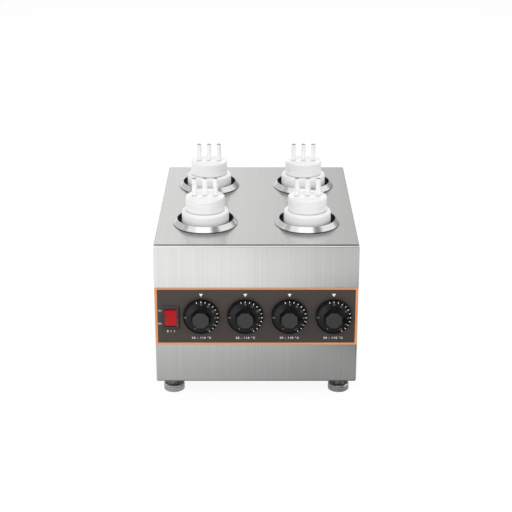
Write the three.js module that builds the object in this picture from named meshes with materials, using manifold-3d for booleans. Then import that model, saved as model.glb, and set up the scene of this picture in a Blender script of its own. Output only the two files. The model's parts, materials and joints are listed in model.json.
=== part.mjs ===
// A countertop warmer for four squeeze bottles of hot sauce: a folded stainless cabinet on
// four levelling feet, four heated wells, each with a thermostat and its knob, a rocker
// switch, and four bottles with three-nozzle screw caps.
// Millimetres, +Z up, the front faces -Y. The origin is on the floor, under the middle of
// the object's outer box.
// Wells and knobs carry the same numbers: 1 front left, 2 back left, 3 back right,
// 4 front right, and the knobs run 1 to 4 from left to right.
import * as THREE from "three";
import { mergeVertices } from "three/addons/utils/BufferGeometryUtils.js";
import Module from "manifold-3d";

const wasm = await Module();
wasm.setup();

// Cabinet
const WIDTH = 295;
const DEPTH = 380;
const SHELL_HEIGHT = 214;
const SHEET = 1.2; // cabinet sheet thickness
const BEND = 2; // outer radius of a folded corner
const FLANGE = 12; // width of the folded returns at top, bottom and rear
const LID_INSET = 1; // top plate's edge, in from the shell's faces
const FIT = 0.3; // clearance between pieces that seat on or pass through each other
const OVERRUN = 1; // how far a cutting solid runs past what it cuts

// Levelling feet
const FOOT_DROP = 24; // floor to the shell's underside
const FOOT_GAP_X = 2.3; // foot's hub to the folded return beside it
const FOOT_GAP_Y = 5; // foot's hub to the folded return in front of it or behind it
const FOOT_R = 15.5;
const FOOT_DISC = 9.5; // height of the wide disc
const FOOT_CHAMFER = 1.2;
const FOOT_HUB_R = 10;
const FOOT_STUD_R = 5;
const FOOT_STUD_LENGTH = 16; // above the base plate's underside
const FOOT_NUT_R = 8;
const FOOT_NUT_HEIGHT = 8;

// Base plate and its vents
const BASE_VENTS = 5; // slots in each of two groups
const BASE_VENT_LENGTH = 60;
const BASE_VENT_WIDTH = 4;
const BASE_VENT_PITCH = 14;
const BASE_VENT_X = 60; // centre of each group, from the middle

// Wells, measured from the top plate's upper face
const RING_SIDE_MARGIN = 23.8; // collar to the shell's side
const RING_REAR_MARGIN = 55; // collar to the shell's rear
const BULB_MARGIN = 8; // free depth between the thermostats and the front wells' bulbs
const WELL_PLAY = 6.7; // gap round a bottle in its pot
const POT_WALL = 1;
const POT_DEPTH = 150;
const POT_CORNER = 5;
const POT_LIP = 4.8; // lip's width, from the pot's inner wall
const RING_WIDTH = 6.8; // collar's width, from the pot's inner wall
const RING_HEIGHT = 8.5;
const RING_EDGE = 1.2; // upright edge at the foot of the slope
const RING_CREST = 1.6; // flat width at the top
const RING_SHEET = 1.2;

// Band heaters round the pots
const BAND_THICK = 3;
const BAND_HEIGHT = 46;
const BAND_RISE = 48; // pot's underside to the band's lower edge
const BAND_GAP = 10; // between the band's two ends
const BAND_EAR = 11; // how far the clamp ears stand out
const BAND_EAR_THICK = 2;
const BAND_SCREW_R = 2;

// Bottles
const BOTTLE_R = 34.5;
const BOTTLE_HEIGHT = 170; // to the shoulder
const BOTTLE_WALL = 1.6;
const BOTTLE_HEEL = 4; // bevel round the bottom
const BOTTLE_SHOULDER = 5; // bevel round the shoulder
const SHOULDER_WIDTH = 8.7; // bottle's side to the neck
const NECK_WALL = 2;
const NECK_HEIGHT = 17;

// Screw caps with three nozzles
const CAP_PLAY = 1; // gap round the neck in the cap's skirt
const CAP_WALL = 2;
const CAP_BEVEL = 2;
const CAP_LIFT = 0.4; // skirt's lower edge above the shoulder
const SEAL_OVERHANG = 0.6; // seal beyond the neck's outer wall
const SEAL_WIDTH = 5.5;
const SEAL_THICK = 1.8;
const NOZZLE_PITCH = 15.7;
const NOZZLE_BASE_R = 3.75;
const NOZZLE_TIP_R = 3.55;
const NOZZLE_BORE_R = 2.5;
const NOZZLE_HEIGHT = 27;

// Control panel on the front face, measured from the shell's underside
const PANEL_BOTTOM = 60.5;
const PANEL_HEIGHT = 89;
const PANEL_THICK = 1;
const TRIM_INSET = 0.5; // border's outer edge, in from the shell's sides
const TRIM_BAND = 3.5;
const TRIM_THICK = 1.2;

// The switch and the knobs stand in a row, and the width that they leave free is shared out
// as the margin left of the switch, the gap right of it, and the margin right of the last
// knob. The knobs take the rest as equal gaps between them.
const SWITCH_MARGIN_SHARE = 0.1734;
const SWITCH_GAP_SHARE = 0.0842;
const KNOB_MARGIN_SHARE = 0.1566;

// Thermostats and knobs
const KNOBS = 4;
const KNOB_RISE = 46; // knobs' axes above the panel's lower edge
const KNOB_STANDOFF = 0.8; // knob's back to the panel
const DIAL_R = 26.2;
const DIAL_RIM = 5.7; // dial's back to the rim's front edge
const DIAL_BEVEL = 1;
const DIAL_RISE = 2.5; // from the rim's front edge up to the grip's root
const GRIP_ROOT_FLATS = 29; // octagon across flats where it leaves the dial
const GRIP_FACE_FLATS = 24.3;
const GRIP_LENGTH = 9.5;
const GRIP_CROWN = 2.7; // thickness in front of the knob's bore
const SHAFT_R = 3;
const SHAFT_SEAT = 12; // length inside the thermostat
const FERRULE_R = 5;
const THERMOSTAT_WIDTH = 36;
const THERMOSTAT_TALL = 28;
const THERMOSTAT_DEEP = 30;
const BLADE_WIDTH = 6.3;
const BLADE_THICK = 1;
const BLADE_LENGTH = 7;
const BLADE_PITCH = 16;

// Thermostat bulbs and capillaries
const BULB_R = 3;
const BULB_LENGTH = 34;
const BULB_RISE = 5; // pot's underside to the bulb's lower end
const CAPILLARY_R = 1.1;
const CAPILLARY_LEVEL_SHARE = 0.734; // level run's place between the floor and the pots
const CAPILLARY_BEND = 9;

// Rocker switch
const SWITCH_RISE = 43.3; // rocker's pivot above the panel's lower edge
const BEZEL_LAP_X = 2; // bezel's overlap beyond the switch's body at the sides
const BEZEL_LAP_Y = 2.75; // the same above and below
const BEZEL_THICK = 2;
const SWITCH_WALL = 1.55; // wall of the body round the rocker's pocket
const SWITCH_BODY_DEEP = 24; // behind the shell's front face
const POCKET_SPARE = 3; // pocket's floor behind the level rocker's back
const ROCKER_PLAY = 0.8; // gap above and below the rocker, for its tilt
const ROCKER_WIDTH = 18.3;
const ROCKER_HEIGHT = 26.6;
const ROCKER_CREST = 5.2; // pivot to the rocker's outer edges
const ROCKER_VALLEY = 3.7; // pivot to the crease
const ROCKER_BACK = 6; // pivot to the rocker's back
const ROCKER_TILT = 7; // degrees from the middle at either end
const ROCKER_BACK_SHARE = 0.6; // height of the rocker's back face against its front
const PIVOT_R = 1;
const PIVOT_LENGTH = 1.2;

// Rear panel, its screws and the cable gland
const REAR_INSET = 2;
const REAR_VENTS = 7;
const REAR_VENT_LENGTH = 70;
const REAR_VENT_WIDTH = 3.5;
const REAR_VENT_PITCH = 9;
const REAR_VENT_X = 62; // centre of each of the two groups
const REAR_VENT_TOP = 168; // uppermost slot, from the shell's underside
const SCREW_HEAD_R = 3.6;
const SCREW_HEAD_HEIGHT = 2.4;
const SCREW_R = 2;
const SCREW_LENGTH = 8;
const GLAND_MARGIN = 52.5; // gland's axis to the shell's side
const GLAND_Z = 42; // from the shell's underside
const GLAND_HEX_FLATS = 22;
const GLAND_HEX_THICK = 6;
const GLAND_DOME_R = 10;
const GLAND_DOME_LENGTH = 12;
const GLAND_CROWN = 4; // length of the dome's taper
const GLAND_THREAD_R = 8;
const GLAND_THREAD_LENGTH = 11;
const GLAND_BORE_R = 5.2;
const GLAND_NUT_THICK = 5;

// Terminal block and the loom from it to the switch
const BLOCK_X = -45;
const BLOCK_FROM_REAR = 42; // block's middle, in from the shell's rear
const BLOCK_WIDTH = 42;
const BLOCK_DEEP = 20;
const BLOCK_TALL = 18;
const BLOCK_POLES = 3;
const BLOCK_HOLE_R = 2.4;
const BLOCK_HOLE_DEEP = 7;
const LOOM_R = 3.5;
const LOOM_LEAD = 44; // straight run in front of the block
const LOOM_CROSSING = 44; // depth over which it crosses to the switch's side
const LOOM_BEND = 7.3;
const LOOM_RISE_GAP = 20; // loom's upright run behind the switch

// Facets round each kind of round piece
const WELL_FACETS = 24;
const BOTTLE_FACETS = 20;
const DIAL_FACETS = 24;
const FOOT_FACETS = 16;
const SMALL_FACETS = 10;
const TUBE_FACETS = 6;
const CORNER_FACETS = 3;
const GRIP_SIDES = 8;
const HEX_SIDES = 6;
const FRONT_TUBE_STEPS = 14;
const REAR_TUBE_STEPS = 18;
const LOOM_STEPS = 24;

// Colours and finishes
const material = (color, roughness, metalness) =>
  new THREE.MeshStandardMaterial({ color, roughness, metalness });
const brushedSteel = material(0xc9cac8, 0.35, 1);
const polishedSteel = material(0xdedfdd, 0.15, 1);
const potSteel = material(0xb4b4b2, 0.3, 1);
const panelBrown = material(0x4b4743, 0.45, 0);
const trimOrange = material(0xde9464, 0.4, 0);
const knobBlack = material(0x161817, 0.3, 0);
const switchBlack = material(0x3c3a3a, 0.4, 0);
const switchRed = material(0xbe2328, 0.3, 0);
const bottleWhite = material(0xf2f2f0, 0.45, 0);
const capWhite = material(0xf6f6f4, 0.4, 0);
const sealGrey = material(0x8c8c88, 0.7, 0);
const zincSteel = material(0xa9acb0, 0.4, 1);
const copperTube = material(0xb87350, 0.35, 1);
const nylonBlack = material(0x1d1d1e, 0.5, 0);
const blockWhite = material(0xe4e2da, 0.5, 0);
const loomGrey = material(0x55565a, 0.6, 0);

// Places worked out from the sizes above
const lidTop = SHELL_HEIGHT + FIT + SHEET; // from the shell's underside
const baseTop = 2 * SHEET + FIT; // base plate's upper face, from the shell's underside
const panelFace = FIT + PANEL_THICK; // panel's front, in front of the shell
const rearFace = DEPTH / 2 + FIT + SHEET; // rear panel's outer face
const gripFace = DIAL_RIM + DIAL_RISE + GRIP_LENGTH; // knob's whole length
const knobBoreDepth = gripFace - GRIP_CROWN;
const frontReach = DEPTH / 2 + panelFace + KNOB_STANDOFF + gripFace;
const glandX = GLAND_MARGIN - WIDTH / 2;
const rearReach = rearFace + FIT + GLAND_HEX_THICK + GLAND_DOME_LENGTH;
const potInnerR = BOTTLE_R + WELL_PLAY;
const potR = potInnerR + POT_WALL;
const ringR = potInnerR + RING_WIDTH;
const potFloor = FIT - POT_DEPTH + POT_WALL; // from the top plate's upper face
const potUnderside = lidTop + FIT - POT_DEPTH; // from the shell's underside
const bulbOffset = potR + FIT + BULB_R; // pot's axis to the bulb's axis
const thermostatReach = SHEET + FIT + THERMOSTAT_DEEP + BLADE_LENGTH;
const wellFromFront = thermostatReach + BULB_MARGIN + BULB_R + bulbOffset;
const wellX = WIDTH / 2 - RING_SIDE_MARGIN - ringR;
const wellRearY = DEPTH / 2 - RING_REAR_MARGIN - ringR;
const wellFrontY = wellFromFront - DEPTH / 2;
const neckR = BOTTLE_R - SHOULDER_WIDTH;
const capR = neckR + CAP_PLAY + CAP_WALL;
const capHeight = NECK_HEIGHT + SEAL_THICK + CAP_WALL + 2 * FIT - CAP_LIFT;
const wellPlaces = [
  [-1, -1],
  [-1, 1],
  [1, 1],
  [1, -1],
].map(([sideX, sideY]) => ({
  x: sideX * wellX,
  y: sideY < 0 ? wellFrontY : wellRearY,
  sideX,
  sideY,
}));
const pocketWidth = ROCKER_WIDTH + 2 * FIT;
const pocketHeight = ROCKER_HEIGHT + 2 * ROCKER_PLAY;
const switchBodyWidth = pocketWidth + 2 * SWITCH_WALL;
const switchBodyHeight = pocketHeight + 2 * SWITCH_WALL;
const bezelWidth = switchBodyWidth + 2 * BEZEL_LAP_X;
const bezelHeight = switchBodyHeight + 2 * BEZEL_LAP_Y;
const freeWidth = WIDTH - bezelWidth - KNOBS * 2 * DIAL_R;
const switchX = (bezelWidth - WIDTH) / 2 + SWITCH_MARGIN_SHARE * freeWidth;
const switchZ = PANEL_BOTTOM + SWITCH_RISE;
const firstKnobX = switchX + bezelWidth / 2 + SWITCH_GAP_SHARE * freeWidth + DIAL_R;
const lastKnobX = WIDTH / 2 - KNOB_MARGIN_SHARE * freeWidth - DIAL_R;
const knobPitch = (lastKnobX - firstKnobX) / (KNOBS - 1);
const knobZ = PANEL_BOTTOM + KNOB_RISE;
const knobPlaces = Array.from({ length: KNOBS }, (_, i) => firstKnobX + i * knobPitch);
const footPlaces = [
  [-1, -1],
  [-1, 1],
  [1, 1],
  [1, -1],
].map(([sideX, sideY]) => ({
  x: sideX * (WIDTH / 2 - FLANGE - FOOT_HUB_R - FOOT_GAP_X),
  y: sideY * (DEPTH / 2 - FLANGE - FOOT_HUB_R - FOOT_GAP_Y),
}));

// A closed three.js geometry as a solid that can be cut and joined
function solidOf(geometry) {
  const bare = new THREE.BufferGeometry();
  bare.setAttribute("position", geometry.getAttribute("position"));
  bare.setIndex(geometry.index);
  const merged = mergeVertices(bare);
  return new wasm.Manifold(
    new wasm.Mesh({
      numProp: 3,
      vertProperties: merged.attributes.position.array,
      triVerts: new Uint32Array(merged.index.array),
    }),
  );
}

function geometryOf(solid) {
  const mesh = solid.getMesh();
  const geometry = new THREE.BufferGeometry();
  geometry.setAttribute("position", new THREE.BufferAttribute(mesh.vertProperties, 3));
  geometry.setIndex(new THREE.BufferAttribute(mesh.triVerts, 1));
  geometry.computeVertexNormals();
  return geometry;
}

const joined = (first, ...others) => others.reduce((sum, next) => sum.add(next), first);
const cut = (first, ...others) => others.reduce((rest, next) => rest.subtract(next), first);

// A box from its lowest corner to its highest corner
function box(low, high) {
  const size = high.map((value, axis) => value - low[axis]);
  const middle = high.map((value, axis) => (value + low[axis]) / 2);
  return solidOf(new THREE.BoxGeometry(...size).translate(...middle));
}

// A turned solid about +Z from its outline of [radius, height] points, outer side going up
function turned(outline, facets) {
  const points = outline.map(([radius, height]) => new THREE.Vector2(radius, height));
  return solidOf(new THREE.LatheGeometry(points, facets).rotateX(Math.PI / 2));
}

// A turned ring: the outline closes on itself
const turnedRing = (outline, facets) => turned([...outline, outline[0]], facets);

// An upright cylinder on the Z axis, moved to x, y
function rod(radius, low, high, facets = SMALL_FACETS, x = 0, y = 0) {
  const upright = new THREE.CylinderGeometry(radius, radius, high - low, facets);
  return solidOf(upright.rotateX(Math.PI / 2).translate(x, y, (low + high) / 2));
}

// A prism or a tapered prism on the Z axis, its first flat facing +X
function prism(sides, flatsLow, flatsHigh, low, high) {
  const corner = 1 / (2 * Math.cos(Math.PI / sides));
  const upright = new THREE.CylinderGeometry(
    flatsHigh * corner,
    flatsLow * corner,
    high - low,
    sides,
  );
  upright.rotateX(Math.PI / 2).rotateZ(Math.PI / sides);
  return solidOf(upright.translate(0, 0, (low + high) / 2));
}

// A flat plate with rounded corners, lying between two heights
function roundedPlate(width, depth, radius, low, high) {
  const x = width / 2 - radius;
  const y = depth / 2 - radius;
  const shape = new THREE.Shape();
  shape.absarc(x, y, radius, 0, Math.PI / 2);
  shape.absarc(-x, y, radius, Math.PI / 2, Math.PI);
  shape.absarc(-x, -y, radius, Math.PI, (3 * Math.PI) / 2);
  shape.absarc(x, -y, radius, (3 * Math.PI) / 2, 2 * Math.PI);
  const plate = new THREE.ExtrudeGeometry(shape, {
    depth: high - low,
    bevelEnabled: false,
    curveSegments: CORNER_FACETS,
  });
  return solidOf(plate.translate(0, 0, low));
}

// A solid tube of one radius along a smooth line through the points
function tube(points, radius, steps) {
  const corners = Array.from({ length: TUBE_FACETS }, (_, i) => {
    const angle = (2 * Math.PI * i) / TUBE_FACETS;
    return new THREE.Vector2(radius * Math.cos(angle), radius * Math.sin(angle));
  });
  const line = new THREE.CatmullRomCurve3(points.map((p) => new THREE.Vector3(...p)));
  return solidOf(
    new THREE.ExtrudeGeometry(new THREE.Shape(corners), { extrudePath: line, steps }),
  );
}

// Each corner of a route is rounded by two points, one bend away on either side of it
function softCorners(corners, bend) {
  const route = [corners[0]];
  for (let i = 1; i < corners.length - 1; i += 1) {
    const here = new THREE.Vector3(...corners[i]);
    const before = new THREE.Vector3(...corners[i - 1]).sub(here).setLength(bend);
    const after = new THREE.Vector3(...corners[i + 1]).sub(here).setLength(bend);
    route.push(here.clone().add(before).toArray());
    route.push(here.clone().add(after).toArray());
  }
  route.push(corners[corners.length - 1]);
  return route;
}

function piece(name, solid, finish, parent) {
  const mesh = new THREE.Mesh(geometryOf(solid), finish);
  mesh.name = name;
  parent.add(mesh);
  return mesh;
}

function group(parent, x, y, z) {
  const made = new THREE.Group();
  made.position.set(x, y, z);
  parent.add(made);
  return made;
}

// Cut-outs that the thermostats and the switch need in the front sheet and in the panel,
// drawn on the front face: x to the right, y up from the shell's underside, z forward
function frontCutouts(low, high) {
  const holes = knobPlaces.map((x) =>
    rod(FERRULE_R + FIT, low, high, SMALL_FACETS, x, knobZ),
  );
  const halfWidth = switchBodyWidth / 2 + FIT;
  const halfHeight = switchBodyHeight / 2 + FIT;
  holes.push(
    box(
      [switchX - halfWidth, switchZ - halfHeight, low],
      [switchX + halfWidth, switchZ + halfHeight, high],
    ),
  );
  return joined(...holes);
}

// The folded cabinet: front and sides in one sheet with returns at top, bottom and rear
function bodyShell() {
  const outer = roundedPlate(WIDTH, DEPTH, BEND, 0, SHELL_HEIGHT);
  const inside = roundedPlate(
    WIDTH - 2 * SHEET,
    DEPTH - 2 * SHEET,
    BEND - SHEET,
    SHEET,
    SHELL_HEIGHT - SHEET,
  );
  const x = WIDTH / 2 - FLANGE;
  const y = DEPTH / 2 - FLANGE;
  const upright = box([-x, -y, -OVERRUN], [x, y, SHELL_HEIGHT + OVERRUN]);
  const rearWindow = box([-x, 0, FLANGE], [x, DEPTH / 2 + OVERRUN, SHELL_HEIGHT - FLANGE]);
  // The top has no return at the rear, where the upright one ends under the lid.
  const lidWindow = box(
    [-x, 0, SHELL_HEIGHT - SHEET - OVERRUN],
    [x, DEPTH / 2 - SHEET, SHELL_HEIGHT + OVERRUN],
  );
  // The front's cut-outs are drawn lying down, then stood up on the front face.
  const cutouts = frontCutouts(-SHEET - OVERRUN, OVERRUN).rotate([90, 0, 0]);
  const screwHoles = screwPlaces().map(([sx, sz]) =>
    rod(SCREW_R + FIT, -SHEET - OVERRUN, OVERRUN, SMALL_FACETS, -sx, sz)
      .rotate([90, 0, 180])
      .translate([0, DEPTH / 2, 0]),
  );
  return cut(
    outer,
    inside,
    upright,
    rearWindow,
    lidWindow,
    cutouts.translate([0, -DEPTH / 2, 0]),
    ...screwHoles,
  );
}

function topPlate() {
  const plate = roundedPlate(
    WIDTH - 2 * LID_INSET,
    DEPTH - 2 * LID_INSET,
    BEND,
    lidTop - SHEET,
    lidTop,
  );
  const holes = wellPlaces.map(({ x, y }) =>
    rod(potR + FIT, lidTop - SHEET - OVERRUN, lidTop + OVERRUN, WELL_FACETS, x, y),
  );
  return cut(plate, ...holes);
}

// A rank of parallel slots centred on x, y, with each slot's ends along X
function slots(count, length, width, pitch, x, y, low, high) {
  return Array.from({ length: count }, (_, i) => {
    const slotY = y + (i - (count - 1) / 2) * pitch;
    return box(
      [x - length / 2, slotY - width / 2, low],
      [x + length / 2, slotY + width / 2, high],
    );
  });
}

// The floor of the cabinet, with vents and four welded nuts for the feet
function basePlate() {
  const low = SHEET + FIT;
  const x = WIDTH / 2 - SHEET - FIT;
  const y = DEPTH / 2 - SHEET - FIT;
  const plate = box([-x, -y, low], [x, y, baseTop]);
  const nuts = footPlaces.map((place) =>
    rod(FOOT_NUT_R, low, baseTop + FOOT_NUT_HEIGHT, SMALL_FACETS, place.x, place.y),
  );
  const bores = footPlaces.map((place) =>
    rod(
      FOOT_STUD_R + FIT,
      low - OVERRUN,
      baseTop + FOOT_NUT_HEIGHT + OVERRUN,
      SMALL_FACETS,
      place.x,
      place.y,
    ),
  );
  const vents = [-BASE_VENT_X, BASE_VENT_X].flatMap((ventX) =>
    slots(
      BASE_VENTS,
      BASE_VENT_LENGTH,
      BASE_VENT_WIDTH,
      BASE_VENT_PITCH,
      ventX,
      0,
      low - OVERRUN,
      baseTop + OVERRUN,
    ),
  );
  return cut(joined(plate, ...nuts), ...bores, ...vents);
}

// Where the rear panel's screws go: x, and height above the shell's underside
function screwPlaces() {
  const x = WIDTH / 2 - FLANGE / 2;
  return [
    [-x, FLANGE / 2],
    [-x, SHELL_HEIGHT - FLANGE / 2],
    [x, SHELL_HEIGHT - FLANGE / 2],
    [x, FLANGE / 2],
  ];
}

// The rear panel is drawn lying down: x, height above the shell's underside, and thickness
function rearPanel() {
  const x = WIDTH / 2 - REAR_INSET;
  const plate = box([-x, REAR_INSET, 0], [x, SHELL_HEIGHT - REAR_INSET, SHEET]);
  const low = -OVERRUN;
  const high = SHEET + OVERRUN;
  const middle = REAR_VENT_TOP - ((REAR_VENTS - 1) / 2) * REAR_VENT_PITCH;
  const vents = [-REAR_VENT_X, REAR_VENT_X].flatMap((ventX) =>
    slots(
      REAR_VENTS,
      REAR_VENT_LENGTH,
      REAR_VENT_WIDTH,
      REAR_VENT_PITCH,
      ventX,
      middle,
      low,
      high,
    ),
  );
  const holes = screwPlaces().map(([sx, sz]) =>
    rod(SCREW_R + FIT, low, high, SMALL_FACETS, sx, sz),
  );
  const glandHole = rod(GLAND_THREAD_R + FIT, low, high, SMALL_FACETS, glandX, GLAND_Z);
  return cut(plate, ...vents, ...holes, glandHole);
}

function footSolid() {
  const hubTop = FOOT_DROP + SHEET;
  return turned(
    [
      [0, 0],
      [FOOT_R - FOOT_CHAMFER, 0],
      [FOOT_R, FOOT_CHAMFER],
      [FOOT_R, FOOT_DISC - FOOT_CHAMFER],
      [FOOT_R - FOOT_CHAMFER, FOOT_DISC],
      [FOOT_HUB_R, FOOT_DISC],
      [FOOT_HUB_R, hubTop],
      [FOOT_STUD_R, hubTop],
      [FOOT_STUD_R, hubTop + FOOT_STUD_LENGTH],
      [0, hubTop + FOOT_STUD_LENGTH],
    ],
    FOOT_FACETS,
  );
}

// A well's cup, hung from the top plate by its lip
function wellPot() {
  const floor = FIT - POT_DEPTH;
  const lipR = potInnerR + POT_LIP;
  return turned(
    [
      [0, floor],
      [potR - POT_CORNER, floor],
      [potR, floor + POT_CORNER],
      [potR, FIT],
      [lipR, FIT],
      [lipR, FIT + POT_WALL],
      [potInnerR, FIT + POT_WALL],
      [potInnerR, potFloor + POT_CORNER],
      [potInnerR - POT_CORNER, potFloor],
      [0, potFloor],
    ],
    WELL_FACETS,
  );
}

// The sloping collar that covers the pot's lip
function wellRing() {
  const lipTop = 2 * FIT + POT_WALL;
  const crestR = potInnerR + RING_CREST;
  return turnedRing(
    [
      [ringR, FIT],
      [ringR, FIT + RING_EDGE],
      [crestR, RING_HEIGHT],
      [potInnerR, RING_HEIGHT],
      [potInnerR, lipTop],
      [potInnerR + RING_SHEET, lipTop],
      [potInnerR + RING_SHEET, RING_HEIGHT - RING_CREST],
      [ringR - RING_SHEET, lipTop],
      [ringR - RING_SHEET, FIT],
    ],
    WELL_FACETS,
  );
}

// A split band heater, closed by a screw through its two ears
function heaterBand() {
  const innerR = potR + FIT;
  const outerR = innerR + BAND_THICK;
  const ring = turnedRing(
    [
      [innerR, 0],
      [outerR, 0],
      [outerR, BAND_HEIGHT],
      [innerR, BAND_HEIGHT],
    ],
    WELL_FACETS,
  );
  const reach = outerR + BAND_EAR;
  const split = box(
    [0, -BAND_GAP / 2, -OVERRUN],
    [reach + OVERRUN, BAND_GAP / 2, BAND_HEIGHT + OVERRUN],
  );
  const rootX = innerR + BAND_THICK / 2;
  const ears = [-1, 1].map((side) => {
    const near = (side * BAND_GAP) / 2;
    const far = near + side * BAND_EAR_THICK;
    return box(
      [rootX, Math.min(near, far), 0],
      [reach, Math.max(near, far), BAND_HEIGHT],
    );
  });
  const halfScrew = BAND_GAP / 2 + 2 * BAND_EAR_THICK;
  const screw = rod(BAND_SCREW_R, -halfScrew, halfScrew)
    .rotate([90, 0, 0])
    .translate([outerR + BAND_EAR / 2, 0, BAND_HEIGHT / 2]);
  return joined(cut(ring, split), ...ears, screw);
}

function bottleSolid() {
  const top = BOTTLE_HEIGHT;
  const rim = top + NECK_HEIGHT;
  const innerR = BOTTLE_R - BOTTLE_WALL;
  const throatR = neckR - NECK_WALL;
  return turned(
    [
      [0, 0],
      [BOTTLE_R - BOTTLE_HEEL, 0],
      [BOTTLE_R, BOTTLE_HEEL],
      [BOTTLE_R, top - BOTTLE_SHOULDER],
      [BOTTLE_R - BOTTLE_SHOULDER, top],
      [neckR, top],
      [neckR, rim],
      [throatR, rim],
      [throatR, top - BOTTLE_WALL],
      [innerR - BOTTLE_SHOULDER, top - BOTTLE_WALL],
      [innerR, top - BOTTLE_WALL - BOTTLE_SHOULDER],
      [innerR, BOTTLE_WALL + BOTTLE_HEEL],
      [innerR - BOTTLE_HEEL, BOTTLE_WALL],
      [0, BOTTLE_WALL],
    ],
    BOTTLE_FACETS,
  );
}

// The seal lies on the neck's rim, under the cap's roof
function sealSolid() {
  const low = NECK_HEIGHT + FIT;
  const high = low + SEAL_THICK;
  const outerR = neckR + SEAL_OVERHANG;
  const innerR = outerR - SEAL_WIDTH;
  return turnedRing(
    [
      [innerR, low],
      [outerR, low],
      [outerR, high],
      [innerR, high],
    ],
    BOTTLE_FACETS,
  );
}

function capSolid() {
  const skirt = turned(
    [
      [0, capHeight - CAP_WALL],
      [capR - CAP_WALL, capHeight - CAP_WALL],
      [capR - CAP_WALL, 0],
      [capR, 0],
      [capR, capHeight - CAP_BEVEL],
      [capR - CAP_BEVEL, capHeight],
      [0, capHeight],
    ],
    BOTTLE_FACETS,
  );
  const root = capHeight - CAP_WALL;
  const tip = capHeight + NOZZLE_HEIGHT;
  const places = [-NOZZLE_PITCH, 0, NOZZLE_PITCH];
  const nozzles = places.map((x) => {
    const cone = new THREE.CylinderGeometry(
      NOZZLE_TIP_R,
      NOZZLE_BASE_R,
      tip - root,
      SMALL_FACETS,
    );
    return solidOf(cone.rotateX(Math.PI / 2).translate(x, 0, (root + tip) / 2));
  });
  const bores = places.map((x) =>
    rod(NOZZLE_BORE_R, root - OVERRUN, tip + OVERRUN, GRIP_SIDES, x, 0),
  );
  return cut(joined(skirt, ...nozzles), ...bores);
}

// The panel and its border are drawn on the front face: x right, y up, z forward
function controlPanel() {
  const x = WIDTH / 2 - TRIM_INSET - TRIM_BAND - FIT;
  const low = PANEL_BOTTOM + TRIM_BAND + FIT;
  const high = PANEL_BOTTOM + PANEL_HEIGHT - TRIM_BAND - FIT;
  const plate = box([-x, low, FIT], [x, high, panelFace]);
  return cut(plate, frontCutouts(0, panelFace + OVERRUN));
}

function panelTrim() {
  const x = WIDTH / 2 - TRIM_INSET;
  const top = PANEL_BOTTOM + PANEL_HEIGHT;
  const outer = box([-x, PANEL_BOTTOM, FIT], [x, top, FIT + TRIM_THICK]);
  const window = box(
    [-x + TRIM_BAND, PANEL_BOTTOM + TRIM_BAND, 0],
    [x - TRIM_BAND, top - TRIM_BAND, FIT + TRIM_THICK + OVERRUN],
  );
  return cut(outer, window);
}

// A capillary thermostat: its case behind the front sheet and its ferrule through the panel
function thermostatSolid() {
  const front = -SHEET - FIT;
  const back = front - THERMOSTAT_DEEP;
  const body = box(
    [-THERMOSTAT_WIDTH / 2, -THERMOSTAT_TALL / 2, back],
    [THERMOSTAT_WIDTH / 2, THERMOSTAT_TALL / 2, front],
  );
  const ferrule = rod(FERRULE_R, front - FIT, panelFace);
  const blades = [-1, 1].map((side) => {
    const x = (side * BLADE_PITCH) / 2;
    return box(
      [x - BLADE_WIDTH / 2, -BLADE_THICK / 2, back - BLADE_LENGTH],
      [x + BLADE_WIDTH / 2, BLADE_THICK / 2, front - FIT],
    );
  });
  const bore = rod(SHAFT_R + FIT, panelFace - SHAFT_SEAT - FIT, panelFace + OVERRUN);
  return cut(joined(body, ferrule, ...blades), bore);
}

function shaftSolid() {
  const tip = KNOB_STANDOFF + knobBoreDepth - FIT;
  return rod(SHAFT_R, panelFace - SHAFT_SEAT, panelFace + tip);
}

// Dial and octagonal grip in one moulding, its back at z = 0
function knobSolid() {
  const rootR = GRIP_ROOT_FLATS / 2;
  const gripRoot = DIAL_RIM + DIAL_RISE;
  const dial = turned(
    [
      [0, 0],
      [DIAL_R - DIAL_BEVEL, 0],
      [DIAL_R, DIAL_BEVEL],
      [DIAL_R, DIAL_RIM - DIAL_BEVEL],
      [DIAL_R - DIAL_BEVEL, DIAL_RIM],
      [rootR, gripRoot],
      [0, gripRoot],
    ],
    DIAL_FACETS,
  );
  const grip = prism(GRIP_SIDES, GRIP_ROOT_FLATS, GRIP_FACE_FLATS, gripRoot - DIAL_RISE, gripFace);
  const bore = rod(SHAFT_R + FIT, -OVERRUN, knobBoreDepth);
  return cut(joined(dial, grip), bore);
}

function switchHousing() {
  const back = -SWITCH_BODY_DEEP;
  const seat = panelFace + FIT;
  const bezel = box(
    [-bezelWidth / 2, -bezelHeight / 2, seat],
    [bezelWidth / 2, bezelHeight / 2, seat + BEZEL_THICK],
  );
  const body = box(
    [-switchBodyWidth / 2, -switchBodyHeight / 2, back],
    [switchBodyWidth / 2, switchBodyHeight / 2, seat + BEZEL_THICK / 2],
  );
  const pocket = box(
    [-pocketWidth / 2, -pocketHeight / 2, -ROCKER_BACK - POCKET_SPARE],
    [pocketWidth / 2, pocketHeight / 2, seat + BEZEL_THICK + OVERRUN],
  );
  const halfPin = ROCKER_WIDTH / 2 + PIVOT_LENGTH + FIT;
  const pinHole = rod(PIVOT_R + FIT, -halfPin, halfPin).rotate([0, 90, 0]);
  return cut(joined(bezel, body), pocket, pinHole);
}

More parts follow.
